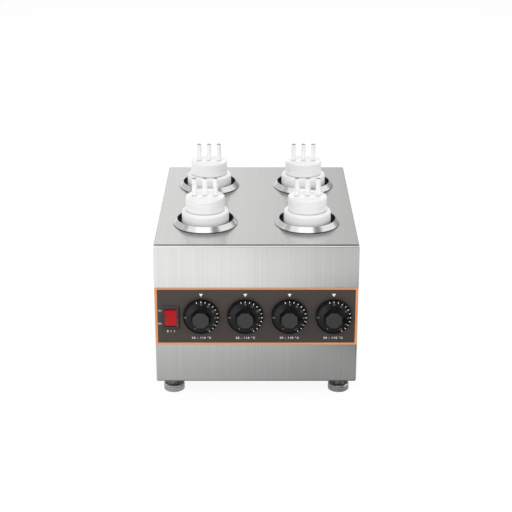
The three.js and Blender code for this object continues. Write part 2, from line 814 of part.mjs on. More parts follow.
// The rocker, drawn level with its pivot on the X axis, then tilted to its off position
function rockerSolid() {
  const half = ROCKER_HEIGHT / 2;
  const back = half * ROCKER_BACK_SHARE;
  const outline = new THREE.Shape();
  outline.moveTo(-half, ROCKER_CREST);
  outline.lineTo(-half + FIT, 0);
  outline.lineTo(-back, -ROCKER_BACK);
  outline.lineTo(back, -ROCKER_BACK);
  outline.lineTo(half - FIT, 0);
  outline.lineTo(half, ROCKER_CREST);
  outline.lineTo(0, ROCKER_VALLEY);
  outline.closePath();
  const profile = new THREE.ExtrudeGeometry(outline, {
    depth: ROCKER_WIDTH,
    bevelEnabled: false,
  });
  // The outline's x becomes height and its y becomes the way forward.
  profile.translate(0, 0, -ROCKER_WIDTH / 2);
  profile.applyMatrix4(
    new THREE.Matrix4().makeBasis(
      new THREE.Vector3(0, 1, 0),
      new THREE.Vector3(0, 0, 1),
      new THREE.Vector3(1, 0, 0),
    ),
  );
  const halfPin = ROCKER_WIDTH / 2 + PIVOT_LENGTH;
  const pin = rod(PIVOT_R, -halfPin, halfPin).rotate([0, 90, 0]);
  return joined(solidOf(profile), pin);
}

// Bulb against the pot's wall, and the capillary from the thermostat to it
function capillarySolid(knobX, well) {
  const atFront = well.sideY < 0;
  const bulbX = atFront ? well.x : well.x - well.sideX * bulbOffset;
  const bulbY = atFront ? well.y - bulbOffset : well.y;
  const level = baseTop + CAPILLARY_LEVEL_SHARE * (potUnderside - baseTop);
  const bulbLow = potUnderside + BULB_RISE;
  const bulb = rod(BULB_R, bulbLow, bulbLow + BULB_LENGTH, SMALL_FACETS, bulbX, bulbY);
  const startY = -DEPTH / 2 + SHEET + FIT + THERMOSTAT_DEEP / 2;
  const start = knobZ - THERMOSTAT_TALL / 2 - FIT;
  const route = softCorners(
    [
      [knobX, startY, start],
      [knobX, startY, level],
      [bulbX, bulbY, level],
      [bulbX, bulbY, bulbLow + BULB_R],
    ],
    CAPILLARY_BEND,
  );
  const steps = atFront ? FRONT_TUBE_STEPS : REAR_TUBE_STEPS;
  return joined(bulb, tube(route, CAPILLARY_R, steps));
}

function terminalBlock() {
  const block = box(
    [-BLOCK_WIDTH / 2, -BLOCK_DEEP / 2, 0],
    [BLOCK_WIDTH / 2, BLOCK_DEEP / 2, BLOCK_TALL],
  );
  const pitch = BLOCK_WIDTH / BLOCK_POLES;
  const holes = Array.from({ length: BLOCK_POLES }, (_, i) =>
    rod(
      BLOCK_HOLE_R,
      BLOCK_TALL - BLOCK_HOLE_DEEP,
      BLOCK_TALL + OVERRUN,
      SMALL_FACETS,
      (i - (BLOCK_POLES - 1) / 2) * pitch,
      0,
    ),
  );
  return cut(block, ...holes);
}

// The wires from the terminal block to the switch, laced into one loom along the left side
function loomSolid() {
  const blockFront = DEPTH / 2 - BLOCK_FROM_REAR - BLOCK_DEEP / 2 - FIT;
  const level = baseTop + FIT + BLOCK_TALL / 2;
  const switchBack = -DEPTH / 2 + SWITCH_BODY_DEEP + FIT;
  const upright = switchBack + LOOM_RISE_GAP;
  const route = softCorners(
    [
      [BLOCK_X, blockFront, level],
      [BLOCK_X, blockFront - LOOM_LEAD, level],
      [switchX, blockFront - LOOM_LEAD - LOOM_CROSSING, level],
      [switchX, upright, level],
      [switchX, upright, switchZ],
      [switchX, switchBack, switchZ],
    ],
    LOOM_BEND,
  );
  return tube(route, LOOM_R, LOOM_STEPS);
}

// Screws and gland are drawn along +Z, which becomes the way out of the rear panel
function rearScrew() {
  return turned(
    [
      [0, FIT - SCREW_LENGTH],
      [SCREW_R, FIT - SCREW_LENGTH],
      [SCREW_R, FIT],
      [SCREW_HEAD_R, FIT],
      [SCREW_HEAD_R, FIT + SCREW_HEAD_HEIGHT / 2],
      [SCREW_R, FIT + SCREW_HEAD_HEIGHT],
      [0, FIT + SCREW_HEAD_HEIGHT],
    ],
    SMALL_FACETS,
  );
}

function cableGland() {
  const hexTop = FIT + GLAND_HEX_THICK;
  const domeTop = hexTop + GLAND_DOME_LENGTH;
  const hex = prism(HEX_SIDES, GLAND_HEX_FLATS, GLAND_HEX_FLATS, FIT, hexTop);
  const dome = turned(
    [
      [0, FIT - GLAND_THREAD_LENGTH],
      [GLAND_THREAD_R, FIT - GLAND_THREAD_LENGTH],
      [GLAND_THREAD_R, hexTop - FIT],
      [GLAND_DOME_R, hexTop - FIT],
      [GLAND_DOME_R, domeTop - GLAND_CROWN],
      [GLAND_THREAD_R, domeTop],
      [0, domeTop],
    ],
    SMALL_FACETS,
  );
  const bore = rod(GLAND_BORE_R, -GLAND_THREAD_LENGTH, domeTop + OVERRUN);
  return cut(joined(hex, dome), bore);
}

function glandNut() {
  const high = -SHEET - FIT;
  const hex = prism(HEX_SIDES, GLAND_HEX_FLATS, GLAND_HEX_FLATS, high - GLAND_NUT_THICK, high);
  const bore = rod(GLAND_THREAD_R + FIT, high - GLAND_NUT_THICK - OVERRUN, high + OVERRUN);
  return cut(hex, bore);
}

const warmer = new THREE.Group();
// Everything is placed about the cabinet's middle, then moved so that the origin is under
// the middle of the outer box, from the knobs' faces to the gland's tip.
const assembly = group(warmer, 0, (frontReach - rearReach) / 2, 0);
const cabinet = group(assembly, 0, 0, FOOT_DROP);

piece("body_shell", bodyShell(), brushedSteel, cabinet);
piece("top_plate", topPlate(), brushedSteel, cabinet);
piece("base_plate", basePlate(), zincSteel, cabinet);

const front = group(cabinet, 0, -DEPTH / 2, 0);
front.rotation.x = Math.PI / 2;
piece("control_panel", controlPanel(), panelBrown, front);
piece("panel_trim", panelTrim(), trimOrange, front);

const rear = group(cabinet, 0, rearFace, 0);
rear.rotation.set(Math.PI / 2, Math.PI, 0);
const rearSheet = group(rear, 0, 0, -SHEET);
piece("rear_panel", rearPanel(), brushedSteel, rearSheet);
screwPlaces().forEach(([x, z], i) => {
  piece(`rear_screw_${i + 1}`, rearScrew(), zincSteel, group(rear, x, z, 0));
});
const glandPlace = group(rear, glandX, GLAND_Z, 0);
piece("cable_gland", cableGland(), nylonBlack, glandPlace);
piece("gland_nut", glandNut(), nylonBlack, glandPlace);

footPlaces.forEach(({ x, y }, i) => {
  piece(`foot_${i + 1}`, footSolid(), polishedSteel, group(assembly, x, y, 0));
});

wellPlaces.forEach((well, i) => {
  const number = i + 1;
  const place = group(cabinet, well.x, well.y, lidTop);
  piece(`well_pot_${number}`, wellPot(), potSteel, place);
  piece(`well_ring_${number}`, wellRing(), polishedSteel, place);
  const band = piece(`heater_band_${number}`, heaterBand(), zincSteel, place);
  band.position.z = FIT - POT_DEPTH + BAND_RISE;
  band.rotation.z = (-well.sideY * Math.PI) / 2;

  const bottle = group(place, 0, 0, potFloor + FIT);
  piece(`bottle_${number}`, bottleSolid(), bottleWhite, bottle);
  const neck = group(bottle, 0, 0, BOTTLE_HEIGHT);
  piece(`cap_seal_${number}`, sealSolid(), sealGrey, neck);
  piece(`cap_${number}`, capSolid(), capWhite, group(neck, 0, 0, CAP_LIFT));

  const control = group(front, knobPlaces[i], knobZ, 0);
  piece(`thermostat_${number}`, thermostatSolid(), nylonBlack, control);
  piece(`thermostat_shaft_${number}`, shaftSolid(), zincSteel, control);
  const knob = piece(`knob_${number}`, knobSolid(), knobBlack, control);
  knob.position.z = panelFace + KNOB_STANDOFF;

  const capillary = capillarySolid(knobPlaces[i], well);
  piece(`capillary_${number}`, capillary, copperTube, cabinet);
});

const switchPlace = group(front, switchX, switchZ, 0);
piece("switch_housing", switchHousing(), switchBlack, switchPlace);
const rocker = piece("switch_rocker", rockerSolid(), switchRed, switchPlace);
rocker.rotation.x = THREE.MathUtils.degToRad(ROCKER_TILT);

const blockY = DEPTH / 2 - BLOCK_FROM_REAR;
const blockPlace = group(cabinet, BLOCK_X, blockY, baseTop + FIT);
piece("terminal_block", terminalBlock(), blockWhite, blockPlace);
piece("wiring_loom", loomSolid(), loomGrey, cabinet);

export default warmer;
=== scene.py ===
import json
import math

import bmesh
import bpy
from bpy.props import FloatProperty, FloatVectorProperty, IntProperty, PointerProperty, StringProperty
from mathutils import Matrix, Vector
from mathutils.geometry import tessellate_polygon


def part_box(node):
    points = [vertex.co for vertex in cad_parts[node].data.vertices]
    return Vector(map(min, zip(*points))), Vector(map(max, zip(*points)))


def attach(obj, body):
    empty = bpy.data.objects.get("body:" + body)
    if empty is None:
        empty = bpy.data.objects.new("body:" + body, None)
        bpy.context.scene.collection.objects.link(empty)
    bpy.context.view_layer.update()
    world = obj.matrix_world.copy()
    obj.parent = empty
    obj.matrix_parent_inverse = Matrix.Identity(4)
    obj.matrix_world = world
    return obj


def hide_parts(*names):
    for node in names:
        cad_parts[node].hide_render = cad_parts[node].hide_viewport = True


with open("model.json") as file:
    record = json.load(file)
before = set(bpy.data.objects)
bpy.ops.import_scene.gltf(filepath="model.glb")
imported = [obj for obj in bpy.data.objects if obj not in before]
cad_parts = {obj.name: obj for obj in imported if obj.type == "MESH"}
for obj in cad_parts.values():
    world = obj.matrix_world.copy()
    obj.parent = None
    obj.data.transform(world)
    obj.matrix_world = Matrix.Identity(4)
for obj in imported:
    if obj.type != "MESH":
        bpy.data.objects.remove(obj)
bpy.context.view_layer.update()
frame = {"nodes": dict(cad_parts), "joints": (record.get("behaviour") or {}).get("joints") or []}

bl_info = {
    "name": "Sauce bottle warmer",
    "version": (1, 0, 0),
    "blender": (4, 5, 0),
    "location": "3D View > Sidebar > Warmer",
    "description": "Dresses a countertop warmer for four sauce bottles",
    "category": "Object",
}

SHELL_LOW, SHELL_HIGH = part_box("body_shell")
LID_LOW, LID_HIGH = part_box("top_plate")
PANEL_LOW, PANEL_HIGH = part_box("control_panel")
BORDER_LOW, BORDER_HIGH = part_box("panel_trim")
MM = 0.001
HAIR = 0.01 * MM
TOUCHING = 0.0001 * MM

# Wells, bottles, caps, dials, feet and rear screws are each numbered 1 to 4
NUMBERS = (1, 2, 3, 4)

# Shapes drawn lying down are stood up to face the front, or the rear
UPRIGHT = Matrix.Rotation(math.radians(90), 4, "X")
BACKWARDS = Matrix.Rotation(math.radians(180), 4, "Z") @ UPRIGHT

# Scales that make a noise into brush lines up a sheet, or along it from front to rear
UP_THE_SHEET = (1500, 1500, 5)
ALONG_THE_LID = (1500, 5, 1500)

# Edges that turn by more than these angles stay sharp
PIECE_CREASE = math.radians(32)
NODE_CREASE = math.radians(38)

# A capital letter's height as a share of the built-in font's size
CAPITAL_SHARE = 0.7


# Sizes and colours a user may change

def length(name, description, default):
    return FloatProperty(name=name, description=description, default=default, unit="LENGTH")


def share(name, description, default):
    return FloatProperty(
        name=name, description=description, default=default, min=0, max=1, subtype="FACTOR"
    )


def amount(name, description, default):
    return FloatProperty(name=name, description=description, default=default, min=0)


def degrees(name, description, default):
    return FloatProperty(
        name=name, description=description, default=math.radians(default), subtype="ANGLE"
    )


def number_of(name, description, default):
    return IntProperty(name=name, description=description, default=default, min=1)


def colour(name, description, default):
    return FloatVectorProperty(
        name=name, description=description, default=(*default, 1), size=4, subtype="COLOR",
        min=0, max=1,
    )


class CabinetSizes(bpy.types.PropertyGroup):
    sheet: length("Sheet", "Thickness of the cabinet's sheet", 1.2 * MM)
    bend: length("Bend", "Outer radius of a folded edge", 2.4 * MM)
    set_back: length("Lid's set-back", "How far the lid's front edge stands back", 1.2 * MM)
    flange: length("Return", "Width of the folded returns", 12 * MM)
    edge: length("Edge", "Rounding of a cut sheet edge", 0.25 * MM)
    lid_edge: length("Lid's edge", "Rounding of the lid's edge", 0.55 * MM)
    hole: length("Lid hole", "Radius of the lid's holes for the wells", 42.5 * MM)
    stud_hole: length("Stud hole", "Radius of the holes for the feet's studs", 5.3 * MM)
    nut: length("Foot nut", "Width across flats of the nuts for the feet", 15 * MM)
    vents: number_of("Floor vents", "Slots in each rank of the floor's vents", 5)
    vent_aside: length("Vents aside", "Distance of each rank from the middle", 60 * MM)
    vent_pitch: length("Vent pitch", "Distance between two slots", 14 * MM)
    vent_length: length("Vent length", "Length of a slot", 60 * MM)
    vent_width: length("Vent width", "Width of a slot", 4 * MM)


class RearSizes(bpy.types.PropertyGroup):
    vents: number_of("Rear vents", "Slots in each rank of the cover's vents", 7)
    vent_top: length("Vents' top", "Height of the upper slots over the shell's foot", 168 * MM)
    vent_aside: length("Vents aside", "Distance of each rank from the middle", 62 * MM)
    vent_pitch: length("Vent pitch", "Distance between two slots", 9 * MM)
    vent_length: length("Vent length", "Length of a slot", 70 * MM)
    vent_width: length("Vent width", "Width of a slot", 3.5 * MM)
    screw_hole: length("Screw hole", "Radius of the cover's screw holes", 2.3 * MM)
    gland_hole: length("Gland hole", "Radius of the hole for the cord gland", 8.3 * MM)
    gland_flats: length("Gland hexagon", "Width across flats of the gland's hexagon", 22 * MM)
    gland_ribs: number_of("Gland ribs", "Ribs round the gland's dome nut", 12)
    screw_head: length("Screw head", "Height of a cover screw's head", 2.4 * MM)
    recess_depth: length("Recess depth", "Depth of a cover screw's cross recess", 1.2 * MM)


class WellSizes(bpy.types.PropertyGroup):
    collar_radius: length("Collar radius", "Outer radius of the sloping collar", 48 * MM)
    mouth_radius: length("Mouth radius", "Inner radius of the collar and the cup", 41.2 * MM)
    collar_height: length("Collar height", "Height of the collar above the lid", 8.5 * MM)
    crest: length("Crest", "Width of the collar's flat top", 1.2 * MM)
    wall: length("Wall", "Wall of the cup and the collar", 1 * MM)
    lip_radius: length("Lip radius", "Radius of the cup's lip under the collar", 46 * MM)
    corner: length("Corner", "Rounding at the cup's floor", 5 * MM)
    gap: length("Gap", "Gap under the cup's lip, and over it in the collar", 0.3 * MM)
    # The shaded foot and crest of the collars are painted shade
    dark_foot: share("Shaded foot", "Share of the collar's slope that is shaded at its foot", 0.05)
    dark_crest: share("Shaded crest", "Share of the crest that is shaded on its inside", 0.85)


class BottleSizes(bpy.types.PropertyGroup):
    radius: length("Radius", "Bottle's outer radius", 34.9 * MM)
    shoulder: length("Shoulder", "Rounding round the shoulder", 4.5 * MM)
    wall: length("Wall", "Bottle's wall", 1.6 * MM)
    neck_radius: length("Neck radius", "Outer radius of the neck", 25.8 * MM)
    neck_height: length("Neck height", "Height of the neck", 17 * MM)
    push_up: length("Push-up", "How far the bottle's floor is pushed in", 1.2 * MM)
    thread_start: length("Thread's start", "First turn of the thread over the shoulder", 7 * MM)
    thread_pitch: length("Thread pitch", "Rise of the thread in one turn", 4 * MM)
    thread_turns: number_of("Thread turns", "Turns of the thread on the neck", 2)
    cap_radius: length("Cap radius", "Outer radius of the cap", 28.8 * MM)
    cap_height: length("Cap height", "Height of the cap without its nozzles", 21 * MM)
    cap_wall: length("Cap wall", "Wall of the cap", 2 * MM)
    cap_round: length("Cap rounding", "Rounding of the cap's upper edge", 2.4 * MM)
    cap_foot: length("Cap foot", "Rounding of the cap's lower edge", 1.3 * MM)
    groove_low: length("Lower groove", "Height of the cap's lower groove", 8.4 * MM)
    groove_high: length("Upper groove", "Height of the cap's upper groove", 13.8 * MM)
    groove_depth: length("Groove depth", "Depth of the cap's fine grooves", 0.5 * MM)
    groove_half: length("Groove half", "Half of a groove's width", 0.7 * MM)
    nozzle_pitch: length("Nozzle pitch", "Distance between the nozzles", 15.7 * MM)
    nozzle_root: length("Nozzle root", "Radius of a nozzle at its root", 3.7 * MM)
    nozzle_tip: length("Nozzle tip", "Radius of a nozzle at its tip", 3.5 * MM)
    nozzle_bore: length("Nozzle bore", "Radius of a nozzle's hole", 3.0 * MM)
    nozzle_short: length("Nozzle end", "How far a nozzle ends below its solid", 0.7 * MM)
    # The height of a painted shade line at the foot of each cap and nozzle, not a moulding seam
    seam: length("Seam", "Height of the shaded line at the foot of a cap or nozzle", 0.9 * MM)


class DialSizes(bpy.types.PropertyGroup):
    radius: length("Dial radius", "Radius of the dial", 26.2 * MM)
    rim: length("Rim depth", "Depth of the dial at its rim", 6.4 * MM)
    bevel: length("Rim rounding", "Rounding of the rim", 0.9 * MM)
    rise: length("Dish rise", "Rise of the dish from the rim to the grip", 2.5 * MM)
    bore: length("Bore", "Radius of the hole for the shaft", 3.3 * MM)
    root_flats: length("Grip root", "Octagon across flats at the grip's root", 29 * MM)
    face_flats: length("Grip face", "Octagon across flats at the grip's face", 23.6 * MM)
    grip: length("Grip length", "Length of the grip in front of the dish", 9.5 * MM)
    tick_share: share("Tick place", "Where the ticks stand, as a share of the radius", 0.92)
    ring_share: share("Ring place", "Where the ring under the ticks begins, as a share", 0.86)
    number_share: share("Number place", "Where the numbers stand, as a share of the radius", 0.77)
    number_height: length("Number height", "Height of the dial's numbers", 2.2 * MM)
    curve: amount("Dish curve", "Power of the dish's rise towards the grip", 1.5)
    first_angle: degrees("First tick", "Angle of the first tick, clockwise from the top", -15)
    tick_angle: degrees("Tick step", "Angle between two ticks", 15)
    ticks: number_of("Ticks", "Number of ticks on a dial", 12)
    tick_width: length("Tick width", "Width of a tick", 0.85 * MM)
    tick_in: length("Tick, inner part", "Reach of a tick towards the grip", 1.15 * MM)
    tick_out: length("Tick, outer part", "Reach of a tick towards the rim", 1.1 * MM)


class PanelSizes(bpy.types.PropertyGroup):
    border_top: length("Top border", "Width of the coloured border at its top", 2.5 * MM)
    border_foot: length("Bottom border", "Width of the coloured border at its bottom", 3.6 * MM)
    border_side: length("Side border", "Width of the coloured border at its sides", 3.8 * MM)
    border_lip: length("Border lip", "Width of the border's darker inner lip", 0.4 * MM)
    edge: length("Edge", "Rounding of the panel's edges", 0.2 * MM)
    ink: length("Ink", "Thickness of the printing", 0.05 * MM)
    pointer_width: length("Pointer width", "Width of the white pointers", 5.6 * MM)
    pointer_height: length("Pointer height", "Height of the white pointers", 4.8 * MM)
    pointer_top: length("Pointer top", "Top of the pointers above the dial's axis", 34.3 * MM)
    label_drop: length("Label drop", "Middle of a label below the dial's axis", 35.2 * MM)
    label_height: length("Label height", "Height of the printed labels", 2.9 * MM)
    mark_height: length("Switch mark height", "Height of the marks by the switch", 2.3 * MM)
    mark_aside: length("Switch mark place", "Distance of the marks left of the switch", 15.6 * MM)
    mark_on: length("On mark", "Height of the on mark over the switch's middle", 10.4 * MM)
    mark_off: length("Off mark", "Height of the off mark over the switch's middle", -9.9 * MM)
    switch_drop: length("Switch label drop", "Label's middle below the switch's", 22 * MM)
    shaft_hole: length("Shaft hole", "Radius of the holes for the dials' shafts", 5.3 * MM)
    cut_width: length("Cut-out width", "Width of the cut-out for the switch", 22.6 * MM)
    cut_height: length("Cut-out height", "Height of the cut-out for the switch", 32.2 * MM)
    range_label: StringProperty(
        name="Range label", description="Printed under each dial", default="30 - 110 °C"
    )
    switch_label: StringProperty(
        name="Switch label", description="Printed under the switch", default="0 / 1"
    )


class SwitchSizes(bpy.types.PropertyGroup):
    frame_depth: length("Frame depth", "How far the frame stands on the panel", 2 * MM)
    frame_slope: length("Frame slope", "Width of the sloping edge of the frame", 1.4 * MM)
    frame_step: length("Frame step", "Height of the frame's straight side", 0.9 * MM)
    window_width: length("Window width", "Width of the frame's window", 18.9 * MM)
    window_height: length("Window height", "Height of the frame's window", 28.2 * MM)
    window_depth: length("Window depth", "Depth of the frame's straight window", 1.2 * MM)
    case_width: length("Case width", "Width of the case behind the panel", 22 * MM)
    case_height: length("Case height", "Height of the case behind the panel", 31.3 * MM)
    pocket: length("Pocket", "Depth of the case's pocket behind the panel's face", 10.4 * MM)
    rocker_width: length("Rocker width", "Width of the rocker", 17.6 * MM)
    rocker_height: length("Rocker height", "Height of the rocker", 25.4 * MM)
    rocker_rise: length("Rocker rise", "How far the rocker stands above its pivot", 0.6 * MM)
    crest: length("Rocker ends", "Height of the rocker's ends over its pivot", 5.2 * MM)
    valley: length("Rocker middle", "Height of the rocker's middle over its pivot", 3.6 * MM)
    hollow: length("Rocker hollow", "Depth of the dish in each half", 0.35 * MM)
    soft: length("Rocker edge", "Rounding of the rocker's edges", 0.9 * MM)
    pin: length("Pin", "Radius of the rocker's pin", 1 * MM)
    pin_length: length("Pin length", "Length of the rocker's pin", 21.2 * MM)
    tilt: degrees("Tilt", "Rocker's tilt at rest", 7)


class FootSizes(bpy.types.PropertyGroup):
    radius: length("Radius", "Radius of the foot's disc", 15.5 * MM)
    disc: length("Disc", "Height of the disc", 10.3 * MM)
    hub: length("Hub", "Radius of the hub above the disc", 8 * MM)
    groove: length("Groove", "Depth of the turned grooves", 0.8 * MM)
    grooves: number_of("Grooves", "Number of turned grooves round the disc", 3)
    chamfer_low: length("Lower chamfer", "Width of the disc's lower chamfer", 0.8 * MM)
    chamfer_high: length("Upper chamfer", "Height of the disc's upper chamfer", 1.2 * MM)
    stud: length("Stud", "Radius of the stud", 5 * MM)
    thread_pitch: length("Thread pitch", "Rise of the stud's thread in one turn", 1.5 * MM)


class WarmerColours(bpy.types.PropertyGroup):
    steel: colour("Cabinet steel", "Brushed stainless sheet", (0.66, 0.66, 0.65))
    lid: colour("Lid steel", "Brushed sheet of the lid", (0.71, 0.71, 0.70))
    # Painted shade, not a cut edge: the dark line along the lid's rounded upper edge stands for the gap's
    # shadow
    cut: colour("Cut edge", "Cut edge of the lid's sheet", (0.20, 0.20, 0.198))
    collar: colour("Collar steel", "Polished well collars", (0.80, 0.80, 0.795))
    # Painted shade: a dark tint for the band at the collars' foot and on their crest's inner edge
    crest: colour("Crest steel", "Shaded inner edge of the collars", (0.12, 0.12, 0.118))
    # Painted shade: the cups' steel is tinted very dark to stand for the shade down in the wells
    cup: colour("Cup steel", "Inside of the wells", (0.16, 0.16, 0.16))
    foot: colour("Foot steel", "Turned feet", (0.70, 0.70, 0.69))
    # Painted shade: the feet's top and hub, in shade under the cabinet, and their grooves are tinted dark
    hub: colour("Foot hub", "Shaded hub and top of the feet", (0.29, 0.29, 0.286))
    # Painted shade: the lower bend's darker tint stands for the shade along the cabinet's foot
    fold: colour("Fold", "Shaded bend at the cabinet's lower edge", (0.34, 0.34, 0.336))
    # Painted highlight, not wear: the upper bend's brighter tint stands for a line of light along it
    bend: colour("Bend", "Rubbed bend at the cabinet's upper edge", (0.84, 0.84, 0.83))
    panel: colour("Panel", "Dark panel film", (0.0545, 0.0422, 0.0366))
    border: colour("Border", "Pale orange border", (0.74, 0.315, 0.135))
    lip: colour("Border lip", "Darker inner lip of the border", (0.20, 0.075, 0.035))
    dial: colour("Dial", "Moulded dial", (0.0030, 0.0034, 0.0033))
    face: colour("Grip face", "Satin face of the grip", (0.026, 0.027, 0.025))
    ink: colour("Ink", "White printing", (0.97, 0.97, 0.96))
    number: colour("Number ink", "Grey printing on the dials", (0.22, 0.22, 0.216))
    frame: colour("Switch frame", "Frame of the switch", (0.0245, 0.0215, 0.0215))
    rocker: colour("Rocker", "Red rocker", (0.43, 0.004, 0.008))
    bottle: colour("Bottle", "White bottle", (0.93, 0.93, 0.925))
    cap: colour("Cap", "White cap", (0.90, 0.90, 0.895))
    # Painted shade: the grey in the nozzles' holes and on their rims stands for the dark of the holes
    hole: colour("Nozzle hole", "Inside and rim of the nozzles", (0.44, 0.44, 0.435))
    # Painted shade, not a seam: the grey line at the foot of a cap or nozzle
    seam: colour("Seam", "Shaded line at the foot of a cap or nozzle", (0.44, 0.44, 0.435))
    zinc: colour("Zinc", "Zinc-plated steel", (0.50, 0.51, 0.53))
    copper: colour("Copper", "Capillary tube", (0.72, 0.33, 0.19))
    nylon: colour("Black nylon", "Cord gland and thermostat cases", (0.022, 0.022, 0.024))
    seal: colour("Seal", "Grey seal", (0.26, 0.26, 0.25))
    block: colour("Terminal block", "White moulding", (0.72, 0.71, 0.66))
    sleeve: colour("Sleeve", "Grey woven sleeve", (0.10, 0.10, 0.11))


class StageSettings(bpy.types.PropertyGroup):
    backdrop: amount("Backdrop", "Strength of the white behind the floor", 1.25)
    room: amount("Room light", "Strength of the even light", 0.58)
    mirrored: amount("Room in metal", "Strength of the room where metal shows it", 1.2)
    floor: colour("Floor", "Pale floor", (0.93, 0.93, 0.93))
    glow: amount("Floor glow", "Strength of the white that lifts the floor", 1.04)
    lift: share("Floor lift", "How much of the floor's look is that white", 0.88)
    # What metal shows of the floor is painted light and shade, darker close to the cabinet
    reach: length("Shade's reach", "How far from the cabinet the floor darkens in metal", 0.69)
    near_left: amount("Near left", "Floor in metal, close to the cabinet on the left", 0.60)
    near_right: amount("Near right", "Floor in metal, close to the cabinet on the right", 0.34)
    far_left: amount("Far left", "Floor in metal, away from the cabinet on the left", 1.40)
    far_right: amount("Far right", "Floor in metal, away from the cabinet on the right", 0.89)
    # The card is a painted dark patch in the floor's look in metal, not a real card
    card: share("Card", "Darkness of the black card on the floor's right in metal", 0.85)
    lens: FloatProperty(name="Lens", description="Camera lens in millimetres", default=92.02)
    camera: FloatVectorProperty(
        name="Camera", description="Camera place", default=(-0.00045, -1.93529, 0.8871), subtype="XYZ"
    )
    pitch: degrees("Pitch", "Camera's angle below level", 20.84)


class WarmerSettings(bpy.types.PropertyGroup):
    cabinet: PointerProperty(type=CabinetSizes, name="Cabinet")
    rear: PointerProperty(type=RearSizes, name="Rear")
    well: PointerProperty(type=WellSizes, name="Wells")
    bottle: PointerProperty(type=BottleSizes, name="Bottles")
    dial: PointerProperty(type=DialSizes, name="Dials")
    panel: PointerProperty(type=PanelSizes, name="Panel")
    switch: PointerProperty(type=SwitchSizes, name="Switch")
    foot: PointerProperty(type=FootSizes, name="Feet")
    colours: PointerProperty(type=WarmerColours, name="Colours")
    stage: PointerProperty(type=StageSettings, name="Stage")


def settings():
    return bpy.context.scene.warmer


# Shapes in metres: corners and faces that can be moved and put together

class Shape:
    """Corners and faces. A face set apart takes another of the piece's finishes."""

    def __init__(self, corners=(), faces=(), apart=()):
        self.corners = [Vector(c) for c in corners]
        self.faces = [list(f) for f in faces]
        self.apart = dict(apart)

    def ring(self, points):
        """Adds corners and gives their numbers."""
        start = len(self.corners)
        self.corners += [Vector(p) for p in points]
        return list(range(start, len(self.corners)))

    def bridge(self, low, high):
        """Adds the faces between two rings. A ring of one repeated corner is a point."""
        count = len(low)
        for i in range(count):
            j = (i + 1) % count
            face = list(dict.fromkeys((low[i], low[j], high[j], high[i])))
            if len(face) > 2:
                self.faces.append(face)

    def add(self, other):
        start, first = len(self.corners), len(self.faces)
        self.corners += other.corners
        self.faces += [[i + start for i in face] for face in other.faces]
        self.apart.update({place + first: number for place, number in other.apart.items()})
        return self

    def moved(self, matrix):
        return Shape([matrix @ c for c in self.corners], self.faces, self.apart)

    def shifted(self, x, y, z):
        return self.moved(Matrix.Translation((x, y, z)))

    def set_apart(self, chosen, number=1):
        """Gives the finish of a number to each face whose corners pass a test."""
        for place, face in enumerate(self.faces):
            if chosen([self.corners[i] for i in face]):
                self.apart[place] = number
        return self


def lowest(corners):
    return min(c.z for c in corners)


def highest(corners):
    return max(c.z for c in corners)


def inmost(corners):
    return min(c.xy.length for c in corners)


def outmost(corners):
    return max(c.xy.length for c in corners)


def shape_of(work):
    """The shape of a bmesh, which is used up."""
    work.verts.index_update()
    shape = Shape([v.co for v in work.verts], [[v.index for v in f.verts] for f in work.faces])
    work.free()
    return shape


def bend_points(start, corner, end, steps):
    """Points of a soft bend from its start past a corner to its end."""
    points = []
    for step in range(steps + 1):
        t = step / steps
        points.append(start * (1 - t) ** 2 + corner * 2 * t * (1 - t) + end * t ** 2)
    return points


def softened(outline, radii, steps=5):
    """An outline whose corners are rounded, each by its own radius; 0 keeps the corner."""
    points = []
    last = len(outline) - 1
    for i, (point, radius) in enumerate(zip(outline, radii)):
        here = Vector(point)
        if radius <= 0 or i in (0, last):
            points.append(here)
            continue
        before = Vector(outline[i - 1]) - here
        after = Vector(outline[i + 1]) - here
        angle = before.angle(after)
        reach = min(radius / math.tan(angle / 2), before.length * 0.49, after.length * 0.49)
        start = here + before.normalized() * reach
        end = here + after.normalized() * reach
        points += bend_points(start, here, end, steps)
    return points


def circle(x, y, radius, sides=64):
    points = []
    for i in range(sides):
        a = 2 * math.pi * i / sides
        points.append((x + radius * math.cos(a), y + radius * math.sin(a)))
    return points


def rounded_rect(x0, y0, x1, y1, radius, steps=5):
    points = []
    centres = (
        (x1 - radius, y1 - radius, 0), (x0 + radius, y1 - radius, 90),
        (x0 + radius, y0 + radius, 180), (x1 - radius, y0 + radius, 270),
    )
    for x, y, start in centres:
        for step in range(steps + 1):
            a = math.radians(start + 90 * step / steps)
            points.append((x + radius * math.cos(a), y + radius * math.sin(a)))
    return points


def centred_rect(x, y, width, height, radius, steps=5):
    half, tall = width / 2, height / 2
    return rounded_rect(x - half, y - tall, x + half, y + tall, radius, steps)


def polygon(x, y, flats, sides):
    """A regular polygon by its width across flats, a flat side towards +X."""
    radius = flats / 2 / math.cos(math.pi / sides)
    points = []
    for i in range(sides):
        a = 2 * math.pi * (i + 0.5) / sides
        points.append((x + radius * math.cos(a), y + radius * math.sin(a)))
    return points


def turned(outline, sides=72, closed=False):
    """A turned shape about +Z from [radius, height] points. The outline starts and ends on
    the axis, or closes on itself."""
    shape = Shape()
    rings = []
    for radius, height in outline:
        if radius < TOUCHING:
            rings.append(shape.ring([(0, 0, height)]) * sides)
        else:
            rings.append(shape.ring([(x, y, height) for x, y in circle(0, 0, radius, sides)]))
    for low, high in zip(rings, rings[1:]):
        shape.bridge(low, high)
    if closed:
        shape.bridge(rings[-1], rings[0])
    return shape


def thread(radius, rise, half, start, end, pitch, sides):
    """Ridges that show a screw thread on a stud or neck, one for each turn."""
    shape = Shape()
    level = start
    while level < end:
        ridge = [(radius, level - half), (radius + rise, level), (radius, level + half)]
        shape.add(turned(ridge, sides, closed=True))
        level += pitch
    return shape


